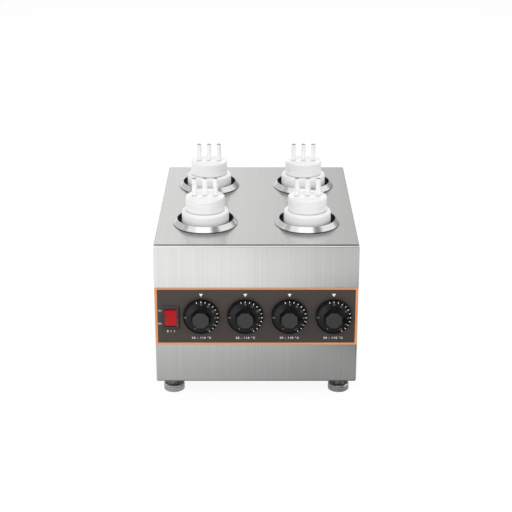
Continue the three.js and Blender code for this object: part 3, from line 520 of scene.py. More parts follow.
def stacked(levels):
    """A solid through a stack of loops with their heights, closed at both ends."""
    shape = Shape()
    rings = [shape.ring([(p[0], p[1], height) for p in loop]) for loop, height in levels]
    for low, high in zip(rings, rings[1:]):
        shape.bridge(low, high)
    shape.faces += [rings[0][::-1], rings[-1]]
    return shape


def wound(loop, outer):
    """The loop with its material on the left: the outer one runs anticlockwise."""
    area = sum(a[0] * b[1] - b[0] * a[1] for a, b in zip(loop, loop[1:] + loop[:1]))
    return loop if (area > 0) == outer else loop[::-1]


def drawn_in(loop, distance):
    """The loop moved into its material by a distance."""
    moved = []
    count = len(loop)
    for i in range(count):
        before, here, after = Vector(loop[i - 1]), Vector(loop[i]), Vector(loop[(i + 1) % count])
        one, two = (here - before).normalized(), (after - here).normalized()
        left_one, left_two = Vector((-one.y, one.x)), Vector((-two.y, two.x))
        middle_way = left_one + left_two
        reach = distance / max(middle_way.dot(left_one), 0.2)
        moved.append(tuple(here + middle_way * reach))
    return moved


def plate(loops, low, high, edge=0.0):
    """A flat plate between two heights. The first loop is its outline, the rest are holes,
    and every rim is rounded over by the edge's size."""
    loops = [wound(list(loop), index == 0) for index, loop in enumerate(loops)]
    inner = [drawn_in(loop, edge) for loop in loops] if edge else loops
    levels = [(loops, low), (loops, high)]
    if edge:
        levels = [(inner, low), (loops, low + edge), (loops, high - edge), (inner, high)]
    shape = Shape()
    rings = [
        [shape.ring([(x, y, height) for x, y in loop]) for loop in outlines]
        for outlines, height in levels
    ]
    for below, above in zip(rings, rings[1:]):
        for one, two in zip(below, above):
            shape.bridge(one, two)
    under, over = rings[0][0][0], rings[-1][0][0]
    flat = [[Vector((x, y, 0)) for x, y in loop] for loop in inner]
    for a, b, c in tessellate_polygon(flat):
        shape.faces.append([over + a, over + b, over + c])
        shape.faces.append([under + a, under + c, under + b])
    return shape


def ink_patch(points, height, thickness):
    """A thin printed patch that follows a surface: height(x, y) gives the surface."""
    shape = Shape()
    low = shape.ring([(x, y, height(x, y)) for x, y in points])
    high = shape.ring([(x, y, height(x, y) + thickness) for x, y in points])
    shape.faces += [low[::-1], high]
    shape.bridge(low, high)
    return shape


def put_in_scene(name, data):
    made = bpy.data.objects.new(name, data)
    bpy.context.scene.collection.objects.link(made)
    return made


def lettering(text, height, thickness, spacing=1.0, weight=0.0):
    """Generic printed characters as a shape lying on z = 0, centred on the origin. The weight
    thickens their strokes."""
    curve = bpy.data.curves.new("lettering", "FONT")
    curve.body = text
    curve.size = height / CAPITAL_SHARE
    curve.align_x = "CENTER"
    curve.align_y = "CENTER"
    curve.space_character = spacing
    curve.offset = height * weight
    curve.resolution_u = 3
    holder = put_in_scene("lettering", curve)
    bpy.context.view_layer.update()
    mesh = bpy.data.meshes.new_from_object(
        holder.evaluated_get(bpy.context.evaluated_depsgraph_get())
    )
    work = bmesh.new()
    work.from_mesh(mesh)
    bmesh.ops.remove_doubles(work, verts=work.verts, dist=TOUCHING)
    grown = bmesh.ops.extrude_face_region(work, geom=work.faces[:])
    for item in grown["geom"]:
        if isinstance(item, bmesh.types.BMVert):
            item.co.z += thickness
    shape = shape_of(work)
    bpy.data.objects.remove(holder)
    bpy.data.curves.remove(curve)
    bpy.data.meshes.remove(mesh)
    return shape


def make_piece(name, shape, body, finishes, nodes=(), centre=(0, 0, 0)):
    """A piece of the object at its place, riding on its body, with its finishes by name."""
    mesh = bpy.data.meshes.new(name)
    mesh.from_pydata([tuple(c) for c in shape.corners], [], shape.faces)
    for place, number in shape.apart.items():
        mesh.polygons[place].material_index = number
    work = bmesh.new()
    work.from_mesh(mesh)
    bmesh.ops.remove_doubles(work, verts=work.verts, dist=TOUCHING)
    bmesh.ops.recalc_face_normals(work, faces=work.faces)
    work.to_mesh(mesh)
    work.free()
    mesh.shade_smooth()
    mesh.set_sharp_from_angle(angle=PIECE_CREASE)
    piece = put_in_scene(name, mesh)
    piece.location = centre
    for finish in finishes:
        mesh.materials.append(Finish.made[finish])
    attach(piece, body)
    if nodes:
        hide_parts(*nodes)


def dress_node(node, finish):
    """Gives a carried-over node its finish and smooths its facets."""
    mesh = frame["nodes"][node].data
    mesh.materials.clear()
    mesh.materials.append(Finish.made[finish])
    mesh.shade_smooth()
    mesh.set_sharp_from_angle(angle=NODE_CREASE)


def middle(node):
    low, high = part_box(node)
    return (low + high) / 2


def middles(name):
    """The middles of the four nodes of a name."""
    return [middle(f"{name}_{i}") for i in NUMBERS]


# Finishes

class Nodes:
    """A node tree that is built up node by node."""

    def __init__(self, tree):
        self.tree = tree

    def node(self, kind, **inputs):
        made = self.tree.nodes.new(kind)
        for socket, value in inputs.items():
            made.inputs[socket.replace("_", " ")].default_value = value
        return made

    def link(self, source, target):
        """Feeds a socket from another socket, or gives it a value."""
        if isinstance(source, (int, float)):
            target.default_value = source
        else:
            self.tree.links.new(source, target)

    def math(self, operation, *values):
        made = self.node("ShaderNodeMath")
        made.operation = operation
        for socket, value in zip(made.inputs, values):
            self.link(value, socket)
        return made.outputs[0]

    def span(self, value, low, high, to_low, to_high, curve="LINEAR"):
        """A value spread from one span to another, and held at its ends."""
        made = self.node("ShaderNodeMapRange")
        made.interpolation_type = curve
        for socket, source in zip(made.inputs, (value, low, high, to_low, to_high)):
            self.link(source, socket)
        return made.outputs[0]

    def mix(self, part, one, two):
        made = self.node("ShaderNodeMixShader")
        for socket, source in zip(made.inputs, (part, one, two)):
            self.link(source, socket)
        return made.outputs[0]


class Finish(Nodes):
    """A procedural material: a shader with its values, and detail built up on it."""

    made = {}

    def __init__(self, name, tint, roughness, metallic=0.0, **values):
        self.material = bpy.data.materials.new(name)
        self.material.use_nodes = True
        super().__init__(self.material.node_tree)
        self.shader = self.tree.nodes["Principled BSDF"]
        self.tint = tuple(tint)[:3]
        self.set("Base Color", (*self.tint, 1))
        self.set("Roughness", roughness)
        self.set("Metallic", metallic)
        for socket, value in values.items():
            self.set(socket.replace("_", " "), value)
        self.height = None
        Finish.made[name] = self.material

    def set(self, socket, value):
        self.shader.inputs[socket].default_value = value

    def place(self, scale, round_axis=False):
        """Object coordinates stretched by a scale. round_axis turns them into radius, height."""
        source = self.node("ShaderNodeTexCoord").outputs["Object"]
        if round_axis:
            parts = self.node("ShaderNodeSeparateXYZ")
            self.link(source, parts.inputs[0])
            flat = self.node("ShaderNodeCombineXYZ")
            self.link(parts.outputs["X"], flat.inputs["X"])
            self.link(parts.outputs["Y"], flat.inputs["Y"])
            radius = self.node("ShaderNodeVectorMath")
            radius.operation = "LENGTH"
            self.link(flat.outputs[0], radius.inputs[0])
            joined = self.node("ShaderNodeCombineXYZ")
            self.link(radius.outputs["Value"], joined.inputs["X"])
            self.link(parts.outputs["Z"], joined.inputs["Y"])
            source = joined.outputs[0]
        mapping = self.node("ShaderNodeMapping")
        mapping.inputs["Scale"].default_value = scale
        self.link(source, mapping.inputs["Vector"])
        return mapping.outputs["Vector"]

    def noise(self, place, scale=1.0, detail=3.0, roughness=0.5):
        made = self.node("ShaderNodeTexNoise", Scale=scale, Detail=detail, Roughness=roughness)
        self.link(place, made.inputs["Vector"])
        return made.outputs["Fac"]

    def ramp(self, factor, stops):
        made = self.node("ShaderNodeValToRGB")
        elements = made.color_ramp.elements
        while len(elements) < len(stops):
            elements.new(0.5)
        for element, (position, value) in zip(elements, stops):
            element.position = position
            element.color = value if isinstance(value, tuple) else (value, value, value, 1)
        self.link(factor, made.inputs["Fac"])
        return made.outputs["Color"]

    def vary_colour(self, factor, spread, low=0.3, high=0.7):
        """The tint a little darker and a little lighter, along a factor."""
        dark = tuple(c * (1 - spread) for c in self.tint) + (1,)
        light = tuple(min(c * (1 + spread), 1) for c in self.tint) + (1,)
        self.link(self.ramp(factor, [(low, dark), (high, light)]), self.shader.inputs["Base Color"])
        return self

    def vary_roughness(self, factor, least, most, low=0.3, high=0.7):
        self.link(self.ramp(factor, [(low, least), (high, most)]), self.shader.inputs["Roughness"])
        return self

    def draw_out(self, direction, stretch):
        """Stretches the reflections along a direction of the piece."""
        self.set("Anisotropic", stretch)
        turn = self.node("ShaderNodeVectorTransform")
        turn.vector_type = "VECTOR"
        turn.convert_from, turn.convert_to = "OBJECT", "WORLD"
        turn.inputs[0].default_value = direction
        self.link(turn.outputs[0], self.shader.inputs["Tangent"])

    def relief(self, factor, distance, strength=1.0):
        """Adds a height to the surface's relief."""
        bump = self.node("ShaderNodeBump", Strength=strength, Distance=distance)
        self.link(factor, bump.inputs["Height"])
        if self.height:
            self.link(self.height, bump.inputs["Normal"])
        self.height = bump.outputs["Normal"]
        self.link(self.height, self.shader.inputs["Normal"])
        return self


def brushed(name, tint, roughness, grain, spread=0.035, coarse=0.24, stretch=0.0):
    """Brushed sheet. grain is the stretch of the brush lines along X, Y and Z, coarse scales it
    for the broad ones, and stretch draws out the reflections along Y."""
    finish = Finish(name, tint, roughness, 1.0)
    if stretch:
        finish.draw_out((0, 1, 0), stretch)
    fine = finish.noise(finish.place(grain), 1.0, 4.0, 0.6)
    broad = finish.noise(finish.place([size * coarse for size in grain]), 1.0, 2.0, 0.5)
    cloudy = finish.noise(finish.place((7, 7, 7)), 1.0, 2.0, 0.5)
    lines = finish.math("ADD", finish.math("MULTIPLY", fine, 0.4), finish.math("MULTIPLY", broad, 0.6))
    finish.vary_colour(lines, spread)
    finish.vary_roughness(cloudy, roughness - 0.01, roughness + 0.02)
    finish.relief(fine, 0.00003, 0.5)
    return finish.material


def spun(name, tint, roughness, spread=0.05, relief=0.00002):
    """Turned metal with fine rings about the piece's own axis."""
    finish = Finish(name, tint, roughness, 1.0)
    rings = finish.noise(finish.place((3200, 3200, 1), round_axis=True), 1.0, 2.0, 0.6)
    cloudy = finish.noise(finish.place((30, 30, 30)), 1.0, 2.0, 0.5)
    finish.vary_colour(rings, spread)
    finish.vary_roughness(cloudy, roughness - 0.03, roughness + 0.05)
    finish.relief(rings, relief, 0.6)
    return finish.material


def moulded(name, tint, roughness, spread=0.03, grain=900, relief=0.00002, **values):
    """Moulded plastic with a fine spark texture and slight handling marks."""
    finish = Finish(name, tint, roughness, 0.0, **values)
    spark = finish.noise(finish.place((grain, grain, grain)), 1.0, 2.0, 0.5)
    marks = finish.noise(finish.place((45, 45, 45)), 1.0, 3.0, 0.6)
    finish.vary_colour(marks, spread)
    finish.vary_roughness(marks, roughness - 0.05, roughness + 0.06)
    finish.relief(spark, relief, 0.5)
    return finish.material


def make_finishes():
    tints = settings().colours
    brushed("cabinet_steel", tints.steel, 0.30, UP_THE_SHEET, spread=0.07, coarse=0.42)
    brushed("lid_steel", tints.lid, 0.19, ALONG_THE_LID, coarse=0.42, stretch=0.5)
    # A painted highlight on the upper bend, then painted shade on the lower bend
    brushed("upper_bend_painted_highlight", tints.bend, 0.14, UP_THE_SHEET)
    brushed("lower_bend_painted_shade", tints.fold, 0.35, UP_THE_SHEET)
    # Painted shade along the lid's upper edge
    brushed("lid_edge_painted_shade", tints.cut, 0.45, UP_THE_SHEET)
    spun("collar_steel", tints.collar, 0.14)
    # Cup steel tinted dark as painted shade
    spun("cup_steel_painted_shade", tints.cup, 0.34)
    # Painted shade on the collars' foot and crest
    spun("collar_painted_shade", tints.crest, 0.3)
    spun("foot_steel", tints.foot, 0.14, spread=0.10, relief=0.00005)
    # Painted shade on the feet's top, hub and grooves
    spun("foot_painted_shade", tints.hub, 0.35)
    brushed("zinc_plate", tints.zinc, 0.38, (60, 60, 60), spread=0.12)
    spun("copper_tube", tints.copper, 0.3)
    # Each moulding with its roughness, its spread of colour, its grain and often its relief
    moulded("panel_film", tints.panel, 0.42, 0.05, 1400, Specular_IOR_Level=0.4)
    moulded("border_film", tints.border, 0.42, 0.03, 1400)
    moulded("border_lip", tints.lip, 0.5, 0.05, 1400)
    moulded("dial_black", tints.dial, 0.24, 0.15, 1200, Specular_IOR_Level=0.33)
    moulded("dial_ring", tints.dial, 0.45, 0.15, 1200, Specular_IOR_Level=0.14)
    moulded("grip_face", tints.face, 0.5, 0.08, 1600)
    moulded("white_ink", tints.ink, 0.5, 0.02, 2000)
    moulded("number_ink", tints.number, 0.5, 0.02, 2000)
    moulded("frame_black", tints.frame, 0.4, 0.08, 1300)
    moulded("rocker_red", tints.rocker, 0.30, 0.06, 700, Specular_IOR_Level=0.24)
    moulded("bottle_white", tints.bottle, 0.42, 0.012, 500, 0.00004)
    moulded("cap_white", tints.cap, 0.36, 0.012, 700, 0.00003)
    # Painted shade in the nozzles' holes and on their rims
    moulded("nozzle_painted_shade", tints.hole, 0.6, 0.05, 700)
    # A painted shade line at the foot of caps and nozzles
    moulded("cap_painted_shade", tints.seam, 0.6, 0.05, 700)
    moulded("black_nylon", tints.nylon, 0.5, 0.1, 900)
    moulded("seal_rubber", tints.seal, 0.7, 0.05, 600)
    moulded("block_white", tints.block, 0.5, 0.04, 700)
    moulded("woven_sleeve", tints.sleeve, 0.75, 0.25, 1500, 0.0002)


# The pieces

def shell_shape():
    """The folded sheet: a rounded box skin with windows at top, bottom and rear. Its upper
    bend is set apart for a painted highlight, its lower bend for painted shade."""
    sizes = settings().cabinet
    work = bmesh.new()
    bmesh.ops.create_cube(work, size=1)
    size = SHELL_HIGH - SHELL_LOW
    centre = (SHELL_HIGH + SHELL_LOW) / 2
    for corner in work.verts:
        corner.co = centre + corner.co * size
    bmesh.ops.bevel(
        work, geom=work.edges[:], offset=sizes.bend, segments=4, profile=0.5,
        affect="EDGES", clamp_overlap=True,
    )
    for direction in (Vector((0, 0, 1)), Vector((0, 0, -1)), Vector((0, 1, 0))):
        side = max(work.faces, key=lambda f: (f.normal.dot(direction) > 0.999) * f.calc_area())
        bmesh.ops.inset_region(
            work, faces=[side], thickness=sizes.flange - sizes.bend, use_even_offset=True
        )
        bmesh.ops.delete(work, geom=[side], context="FACES_ONLY")
    outer = work.faces[:]
    bmesh.ops.recalc_face_normals(work, faces=outer)
    if sum(f.normal.dot(f.calc_center_median() - centre) for f in outer) < 0:
        bmesh.ops.reverse_faces(work, faces=outer)
    bmesh.ops.solidify(work, geom=work.faces[:], thickness=sizes.sheet)
    shape = shape_of(work)
    top, foot = SHELL_HIGH.z, SHELL_LOW.z
    # The upper bend takes the painted highlight, the lower bend the painted shade
    shape.set_apart(lambda corners: top - sizes.bend - HAIR < lowest(corners) < top - HAIR)
    return shape.set_apart(
        lambda corners: foot + HAIR < highest(corners) < foot + sizes.bend + HAIR, 2
    )


def lid_shape():
    """The lid with its four holes. The rounding of its upper edges is set apart for a painted shade line.
    """
    sizes = settings().cabinet
    front = LID_LOW.y + sizes.set_back
    loops = [rounded_rect(LID_LOW.x, front, LID_HIGH.x, LID_HIGH.y, sizes.bend)]
    loops += [circle(place.x, place.y, sizes.hole, 72) for place in middles("well_pot")]
    lid = plate(loops, LID_LOW.z, LID_HIGH.z, sizes.lid_edge)
    top = LID_HIGH.z
    # The rounded upper edges take the painted shade line
    return lid.set_apart(lambda corners: top - sizes.lid_edge - HAIR < lowest(corners) < top - HAIR)


def vent_loops(sizes, top):
    """Round-ended slots in two ranks, down from the top ones."""
    end = sizes.vent_width / 2.01
    loops = []
    for x in (-sizes.vent_aside, sizes.vent_aside):
        for i in range(sizes.vents):
            y = top - i * sizes.vent_pitch
            loops.append(centred_rect(x, y, sizes.vent_length, sizes.vent_width, end, 4))
    return loops


def back_cover_shape():
    """The rear cover, lying down as seen from behind, with its vents and holes."""
    sizes = settings().rear
    low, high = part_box("rear_panel")
    loops = [rounded_rect(low.x, low.z, high.x, high.z, 1.5 * MM)]
    loops += vent_loops(sizes, SHELL_LOW.z + sizes.vent_top)
    for place in middles("rear_screw"):
        loops.append(circle(-place.x, place.z, sizes.screw_hole, 20))
    gland = middle("cable_gland")
    loops.append(circle(-gland.x, gland.z, sizes.gland_hole, 40))
    shape = plate(loops, 0, high.y - low.y, settings().cabinet.edge)
    return shape.moved(Matrix.Translation((0, low.y, 0)) @ BACKWARDS)


def floor_sheet_shape():
    """The cabinet's floor with its vents and the welded nuts for the feet."""
    sizes = settings().cabinet
    low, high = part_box("base_plate")
    rank_height = (sizes.vents - 1) * sizes.vent_pitch
    centre_y = (SHELL_LOW.y + SHELL_HIGH.y) / 2
    feet = middles("foot")
    studs = [circle(place.x, place.y, sizes.stud_hole, 24) for place in feet]
    loops = [rounded_rect(low.x, low.y, high.x, high.y, 1 * MM)]
    loops += vent_loops(sizes, centre_y + rank_height / 2) + studs
    shape = plate(loops, low.z, low.z + sizes.sheet, sizes.edge)
    for place, hole in zip(feet, studs):
        hexagon = polygon(place.x, place.y, sizes.nut, 6)
        shape.add(plate([hexagon, hole], low.z + sizes.sheet, high.z, 0.4 * MM))
    return shape


def cup_shape(foot):
    """A well's cup with its lip. The lid's upper face is z = 0 and the cup's foot below it."""
    sizes = settings().well
    inner, wall, lip, gap = sizes.mouth_radius, sizes.wall, sizes.lip_radius, sizes.gap
    outer = inner + wall
    outline = [
        (0, foot), (outer, foot), (outer, gap), (lip, gap), (lip, gap + wall),
        (inner, gap + wall), (inner, foot + wall), (0, foot + wall),
    ]
    radii = [0, sizes.corner + wall, 0, 0.2 * MM, 0.4 * MM, wall, sizes.corner, 0]
    return turned(softened(outline, radii), 80)


def collar_shape():
    """The sloping collar that covers the cup's lip. Its foot band and inner crest get painted shade."""
    sizes = settings().well
    foot, top, inner, outer = sizes.gap, sizes.collar_height, sizes.mouth_radius, sizes.collar_radius
    under = foot + sizes.wall + sizes.gap
    sheet = settings().cabinet.sheet
    low, high = Vector((outer, foot + 0.2 * MM)), Vector((inner + sizes.crest, top))
    shaded = low.lerp(high, sizes.dark_foot)
    outline = [
        (outer, foot), low, shaded, high, (inner, top), (inner, under), (inner + sheet, under),
        (inner + sheet, top - 1.6 * MM), (outer - sheet, under), (outer - sheet, foot), (outer, foot),
    ]
    radii = [
        0, 0.1 * MM, 0, 0.9 * MM, 0.5 * MM, 0.2 * MM, 0.2 * MM, 0.3 * MM, 0.3 * MM, 0.2 * MM, 0,
    ]
    collar = turned(softened(outline, radii)[:-1], 96, closed=True)
    crest = inner + sizes.dark_crest * sizes.crest
    # The inner crest and the foot band take the painted shade
    return collar.set_apart(
        lambda corners: outmost(corners) < crest or highest(corners) < shaded.y + HAIR
    )


def bottle_shape(height):
    """The squeeze bottle with its neck and thread, standing on z = 0."""
    sizes = settings().bottle
    outer, wall, neck, up = sizes.radius, sizes.wall, sizes.neck_radius, sizes.push_up
    rim = height + sizes.neck_height
    throat = neck - 2 * MM
    outline = [
        (0, up), (outer * 0.62, up), (outer * 0.7, 0), (outer, 0), (outer, height), (neck, height),
        (neck, rim), (throat, rim), (throat, height - wall), (outer - wall, height - wall),
        (outer - wall, wall + up), (0, wall + up),
    ]
    radii = [
        0, 2 * MM, 1.5 * MM, 4 * MM, sizes.shoulder, 0.8 * MM,
        0.6 * MM, 0.4 * MM, 1 * MM, sizes.shoulder,
        3 * MM, 0,
    ]
    start, pitch = height + sizes.thread_start, sizes.thread_pitch
    end = start + (sizes.thread_turns - 0.5) * pitch
    ridges = thread(neck - 0.2 * MM, 0.7 * MM, 0.8 * MM, start, end, pitch, 80)
    return turned(softened(outline, radii), 80).add(ridges)


def nozzle_shape(x):
    """One nozzle, standing on the cap's top. Its hole, rim and foot get painted shade."""
    sizes = settings().bottle
    low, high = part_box("cap_1")
    top, tip = sizes.cap_height, high.z - low.z - sizes.nozzle_short
    root, end, bore = sizes.nozzle_root, sizes.nozzle_tip, sizes.nozzle_bore
    sunk, seam, bottom = top - 0.3 * MM, top + sizes.seam, top + 1 * MM
    outline = [(root, sunk), (root, seam), (end, tip), (bore, tip), (bore, bottom), (0, bottom), (0, sunk)]
    radii = [0, 0, 0.12 * MM, 0.1 * MM, 0.5 * MM, 0, 0]
    nozzle = turned(softened(outline, radii) + [(root, sunk)], 32)
    rim = 0.05 * MM
    nozzle.set_apart(lambda corners: outmost(corners) < bore + rim or lowest(corners) > tip - rim)
    nozzle.set_apart(lambda corners: highest(corners) < seam + HAIR, 2)
    return nozzle.shifted(x, 0, 0)


def cap_shape():
    """The screw cap with two fine grooves and three nozzles, its skirt's edge on z = 0."""
    sizes = settings().bottle
    outer, wall, top, half = sizes.cap_radius, sizes.cap_wall, sizes.cap_height, sizes.groove_half
    outline = [(0, top - wall), (outer - wall, top - wall), (outer - wall, 0), (outer, 0)]
    radii = [0, 1 * MM, 0.3 * MM, sizes.cap_foot]
    for level in (sizes.groove_low, sizes.groove_high):
        outline += [(outer, level - half), (outer - sizes.groove_depth, level), (outer, level + half)]
        radii += [0.15 * MM, 0.1 * MM, 0.15 * MM]
    outline += [(outer, top), (0, top + 0.15 * MM)]
    radii += [sizes.cap_round, 0]
    shape = turned(softened(outline, radii), 80)
    # The skirt's foot takes the painted shade line
    shape.set_apart(lambda corners: highest(corners) < sizes.seam, 2)
    for x in (-sizes.nozzle_pitch, 0, sizes.nozzle_pitch):
        shape.add(nozzle_shape(x))
    return shape


def dish_height(radius):
    """Height of the dial's dished surface over its back, at a radius."""
    sizes = settings().dial
    edge, root = sizes.radius - sizes.bevel, sizes.root_flats / 2
    inward = min(max((edge - radius) / (edge - root), 0), 1)
    return sizes.rim + sizes.rise * inward ** sizes.curve


def dial_shape():
    """The dished dial, its back on z = 0. The ring under the ticks is set apart."""
    sizes = settings().dial
    edge, chamfer = sizes.radius - sizes.bevel, 0.8 * MM
    rim = softened(
        [(sizes.radius, chamfer), (sizes.radius, sizes.rim), (edge - 1.5 * MM, sizes.rim)],
        [0, sizes.bevel, 0], 6,
    )
    inner, steps = sizes.root_flats / 2 - 1.5 * MM, 20
    dish = []
    for i in range(2, steps + 1):
        radius = edge + (inner - edge) * i / steps
        dish.append((radius, dish_height(radius)))
    profile = [(sizes.bore, 0), (sizes.radius - chamfer, 0), *rim[:-1], *dish]
    profile.append((sizes.bore, dish[-1][1]))
    ring = sizes.radius * sizes.ring_share
    return turned(profile, 96, closed=True).set_apart(lambda corners: inmost(corners) > ring)


def grip_shape():
    """The octagonal grip: a tapering prism with soft edges. Its face is a separate piece."""
    sizes = settings().dial
    base = dish_height(sizes.root_flats / 2) - 1.2 * MM
    face = sizes.rim + sizes.rise + sizes.grip
    soft, corner_bend = 0.5 * MM, 0.9 * MM

    def flats_at(z):
        return sizes.root_flats + (sizes.face_flats - sizes.root_flats) * (z - base) / (face - base)

    rings = [
        (sizes.root_flats + 0.6 * MM, base), (flats_at(base + 2 * MM), base + 2 * MM),
        (flats_at(face - soft), face - soft), (sizes.face_flats - 0.8 * soft, face - 0.4 * soft),
        (sizes.face_flats - 1.8 * soft, face - 0.24 * soft),
    ]
    levels = []
    for flats, z in rings:
        corners = [Vector(corner) for corner in polygon(0, 0, flats, 8)]
        loop = []
        for i, here in enumerate(corners):
            start = here + (corners[i - 1] - here).normalized() * corner_bend
            end = here + (corners[(i + 1) % 8] - here).normalized() * corner_bend
            loop += bend_points(start, here, end, 3)
        levels.append((loop, z))
    return stacked(levels)


def grip_face_shape():
    """The satin inlay in the grip's face."""
    sizes = settings().dial
    face = sizes.rim + sizes.rise + sizes.grip
    return plate([polygon(0, 0, sizes.face_flats - 1 * MM, 8)], face - 0.5 * MM, face, 0.1 * MM)


def bar(angle, inner, outer, width):
    """Corners of a bar along a radius, the angle clockwise from the top."""
    along = Vector((math.sin(angle), math.cos(angle)))
    across = Vector((along.y, -along.x)) * width / 2
    steps = 3
    reaches = [inner + (outer - inner) * i / steps for i in range(steps + 1)]
    corners = [along * reach + across for reach in reaches]
    corners += [along * reach - across for reach in reversed(reaches)]
    return [tuple(corner) for corner in corners]


def over_dish(x, y):
    """Height at which the dial's printing lies on its dish."""
    return dish_height(math.hypot(x, y)) + 2 * HAIR


def dial_ticks_shape():
    """The ticks, printed on the dished dial."""
    sizes = settings().dial
    shape = Shape()
    radius = sizes.radius * sizes.tick_share
    for i in range(sizes.ticks):
        angle = sizes.first_angle + i * sizes.tick_angle
        corners = bar(angle, radius - sizes.tick_in, radius + sizes.tick_out, sizes.tick_width)
        shape.add(ink_patch(corners, over_dish, settings().panel.ink))
    return shape


def dial_numbers_shape():
    """The numbers, the off bar and the dot, printed in grey on the dished dial."""
    sizes = settings().dial
    ink = settings().panel.ink
    off_bar = bar(math.radians(-90), inner=20.8 * MM, outer=24.6 * MM, width=1.1 * MM)
    dot = circle(-8.9 * MM, -17.2 * MM, radius=0.9 * MM, sides=12)
    shape = ink_patch(off_bar, over_dish, ink).add(ink_patch(dot, over_dish, ink))
    radius = sizes.radius * sizes.number_share
    for i, number in enumerate(("10", "30", "50", "70", "90", "110")):
        angle = 2 * i * sizes.tick_angle
        text = lettering(number, sizes.number_height, ink).moved(Matrix.Rotation(-angle, 4, "Z"))
        text = text.shifted(radius * math.sin(angle), radius * math.cos(angle), 0)
        for corner in text.corners:
            corner.z += over_dish(corner.x, corner.y)
        shape.add(text)
    return shape


def frame_shape():
    """The switch's frame and its case behind the panel."""
    sizes = settings().switch
    low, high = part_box("switch_housing")
    width, height = high.x - low.x, high.z - low.z
    x, z = (high.x + low.x) / 2, (high.z + low.z) / 2
    front, back = -low.y, -high.y
    seat = front - sizes.frame_depth
    slope = 2 * sizes.frame_slope
    outer = centred_rect(x, z, width, height, 1.6 * MM)
    crown = centred_rect(x, z, width - slope, height - slope, 1.2 * MM)
    window = centred_rect(x, z, sizes.window_width, sizes.window_height, 0.8 * MM)
    case = centred_rect(x, z, sizes.case_width, sizes.case_height, 0.8 * MM)
    shape = stacked([
        (case, back), (case, seat), (outer, seat), (outer, seat + sizes.frame_step), (crown, front),
        (window, front), (window, front - sizes.window_depth), (window, seat - sizes.pocket),
    ])
    return shape.moved(UPRIGHT)


def rocker_shape():
    """The rocker about its pivot on X: two gently dished halves with soft edges."""
    sizes = settings().switch
    half_w, half_h, soft = sizes.rocker_width / 2, sizes.rocker_height / 2, sizes.soft

    def front(u, v):
        """Height of the rocker's face, u and v going from -1 to 1 over it."""
        dish = sizes.hollow * math.sin(math.pi * abs(v)) * (1 - u * u)
        edge = max(abs(u) * half_w - (half_w - soft), abs(v) * half_h - (half_h - soft), 0)
        drop = soft - math.sqrt(max(soft * soft - edge * edge, 0))
        return sizes.valley + (sizes.crest - sizes.valley) * abs(v) ** 1.3 - dish - drop

    def spread(edges, count):
        """Places from -1 to 1: evenly over the middle, and the given ones towards the ends."""
        even = [edges[-1] * (2 * i / count - 1) for i in range(count + 1)]
        return [-edge for edge in edges[:-1]] + even + list(reversed(edges[:-1]))

    across, along = spread((1, 0.97, 0.94, 0.9), 8), spread((1, 0.98, 0.955, 0.92), 16)
    shape = Shape()
    rows = [shape.ring([(u * half_w, v * half_h, front(u, v)) for u in across]) for v in along]
    for low, high in zip(rows, rows[1:]):
        for i in range(len(across) - 1):
            shape.faces.append([low[i], low[i + 1], high[i + 1], high[i]])
    rim = rows[0] + [row[-1] for row in rows[1:]]
    rim += rows[-1][-2::-1] + [row[0] for row in rows[-2:0:-1]]
    corners = [shape.corners[i].xy for i in rim]
    waist_share, foot_share, drop = 0.97, 0.6, 6 * MM
    waist = shape.ring([(x, y * waist_share, 0) for x, y in corners])
    foot = shape.ring([(x, y * foot_share, -drop) for x, y in corners])
    shape.bridge(rim, waist)
    shape.bridge(waist, foot)
    shape.faces.append(foot)
    shape = shape.shifted(0, sizes.rocker_rise, 0)
    half = sizes.pin_length / 2
    pin = turned([(0, -half), (sizes.pin, -half), (sizes.pin, half), (0, half)], 16)
    shape.add(pin.moved(Matrix.Rotation(math.radians(90), 4, "Y")))
    return shape.moved(UPRIGHT @ Matrix.Rotation(sizes.tilt, 4, "X"))


def foot_shape(height):
    """A turned foot: a grooved disc with a chamfer, a hub and a threaded stud. The disc's top,
    the hub and the grooves are set apart for painted shade."""
    sizes = settings().foot
    outer, disc, hub, groove, stud = sizes.radius, sizes.disc, sizes.hub, sizes.groove, sizes.stud
    low, high = sizes.chamfer_low, disc - sizes.chamfer_high
    hub_top = SHELL_LOW.z + settings().cabinet.sheet
    pitch = (high - low) / sizes.grooves
    outline = [(0, 0), (outer - low, 0), (outer, low)]
    radii = [0, 0.2 * MM, 0.3 * MM]
    for i in range(sizes.grooves):
        level = low + (i + 0.55) * pitch
        outline += [
            (outer, level - 0.5 * MM), (outer - groove, level - 0.35 * MM),
            (outer - groove, level + 0.35 * MM), (outer, level + 0.5 * MM),
        ]
        radii += [0.1 * MM] * 4
    outline += [
        (outer, high), (outer - 1.1 * MM, disc), (hub + 0.8 * MM, disc - 0.2 * MM),
        (hub, disc + 0.6 * MM), (hub, hub_top), (stud, hub_top), (stud, height), (0, height),
    ]
    radii += [0.2 * MM, 0.3 * MM, 0.4 * MM, 0.4 * MM, 0.5 * MM, 0.2 * MM, 0.8 * MM, 0]
    shape = turned(softened(outline, radii), 72)
    # The disc's top and hub, then the grooves, take the painted shade
    shape.set_apart(lambda corners: outmost(corners) < outer - 1.2 * MM and lowest(corners) > high)
    shape.set_apart(
        lambda corners: outer - 1.3 * groove < outmost(corners) < outer - groove / 5
        and low < lowest(corners) < high
    )
    start, end = hub_top + 1.2 * MM, height - 1 * MM
    return shape.add(
        thread(stud - 0.1 * MM, 0.4 * MM, 0.5 * MM, start, end, sizes.thread_pitch, 32)
    )


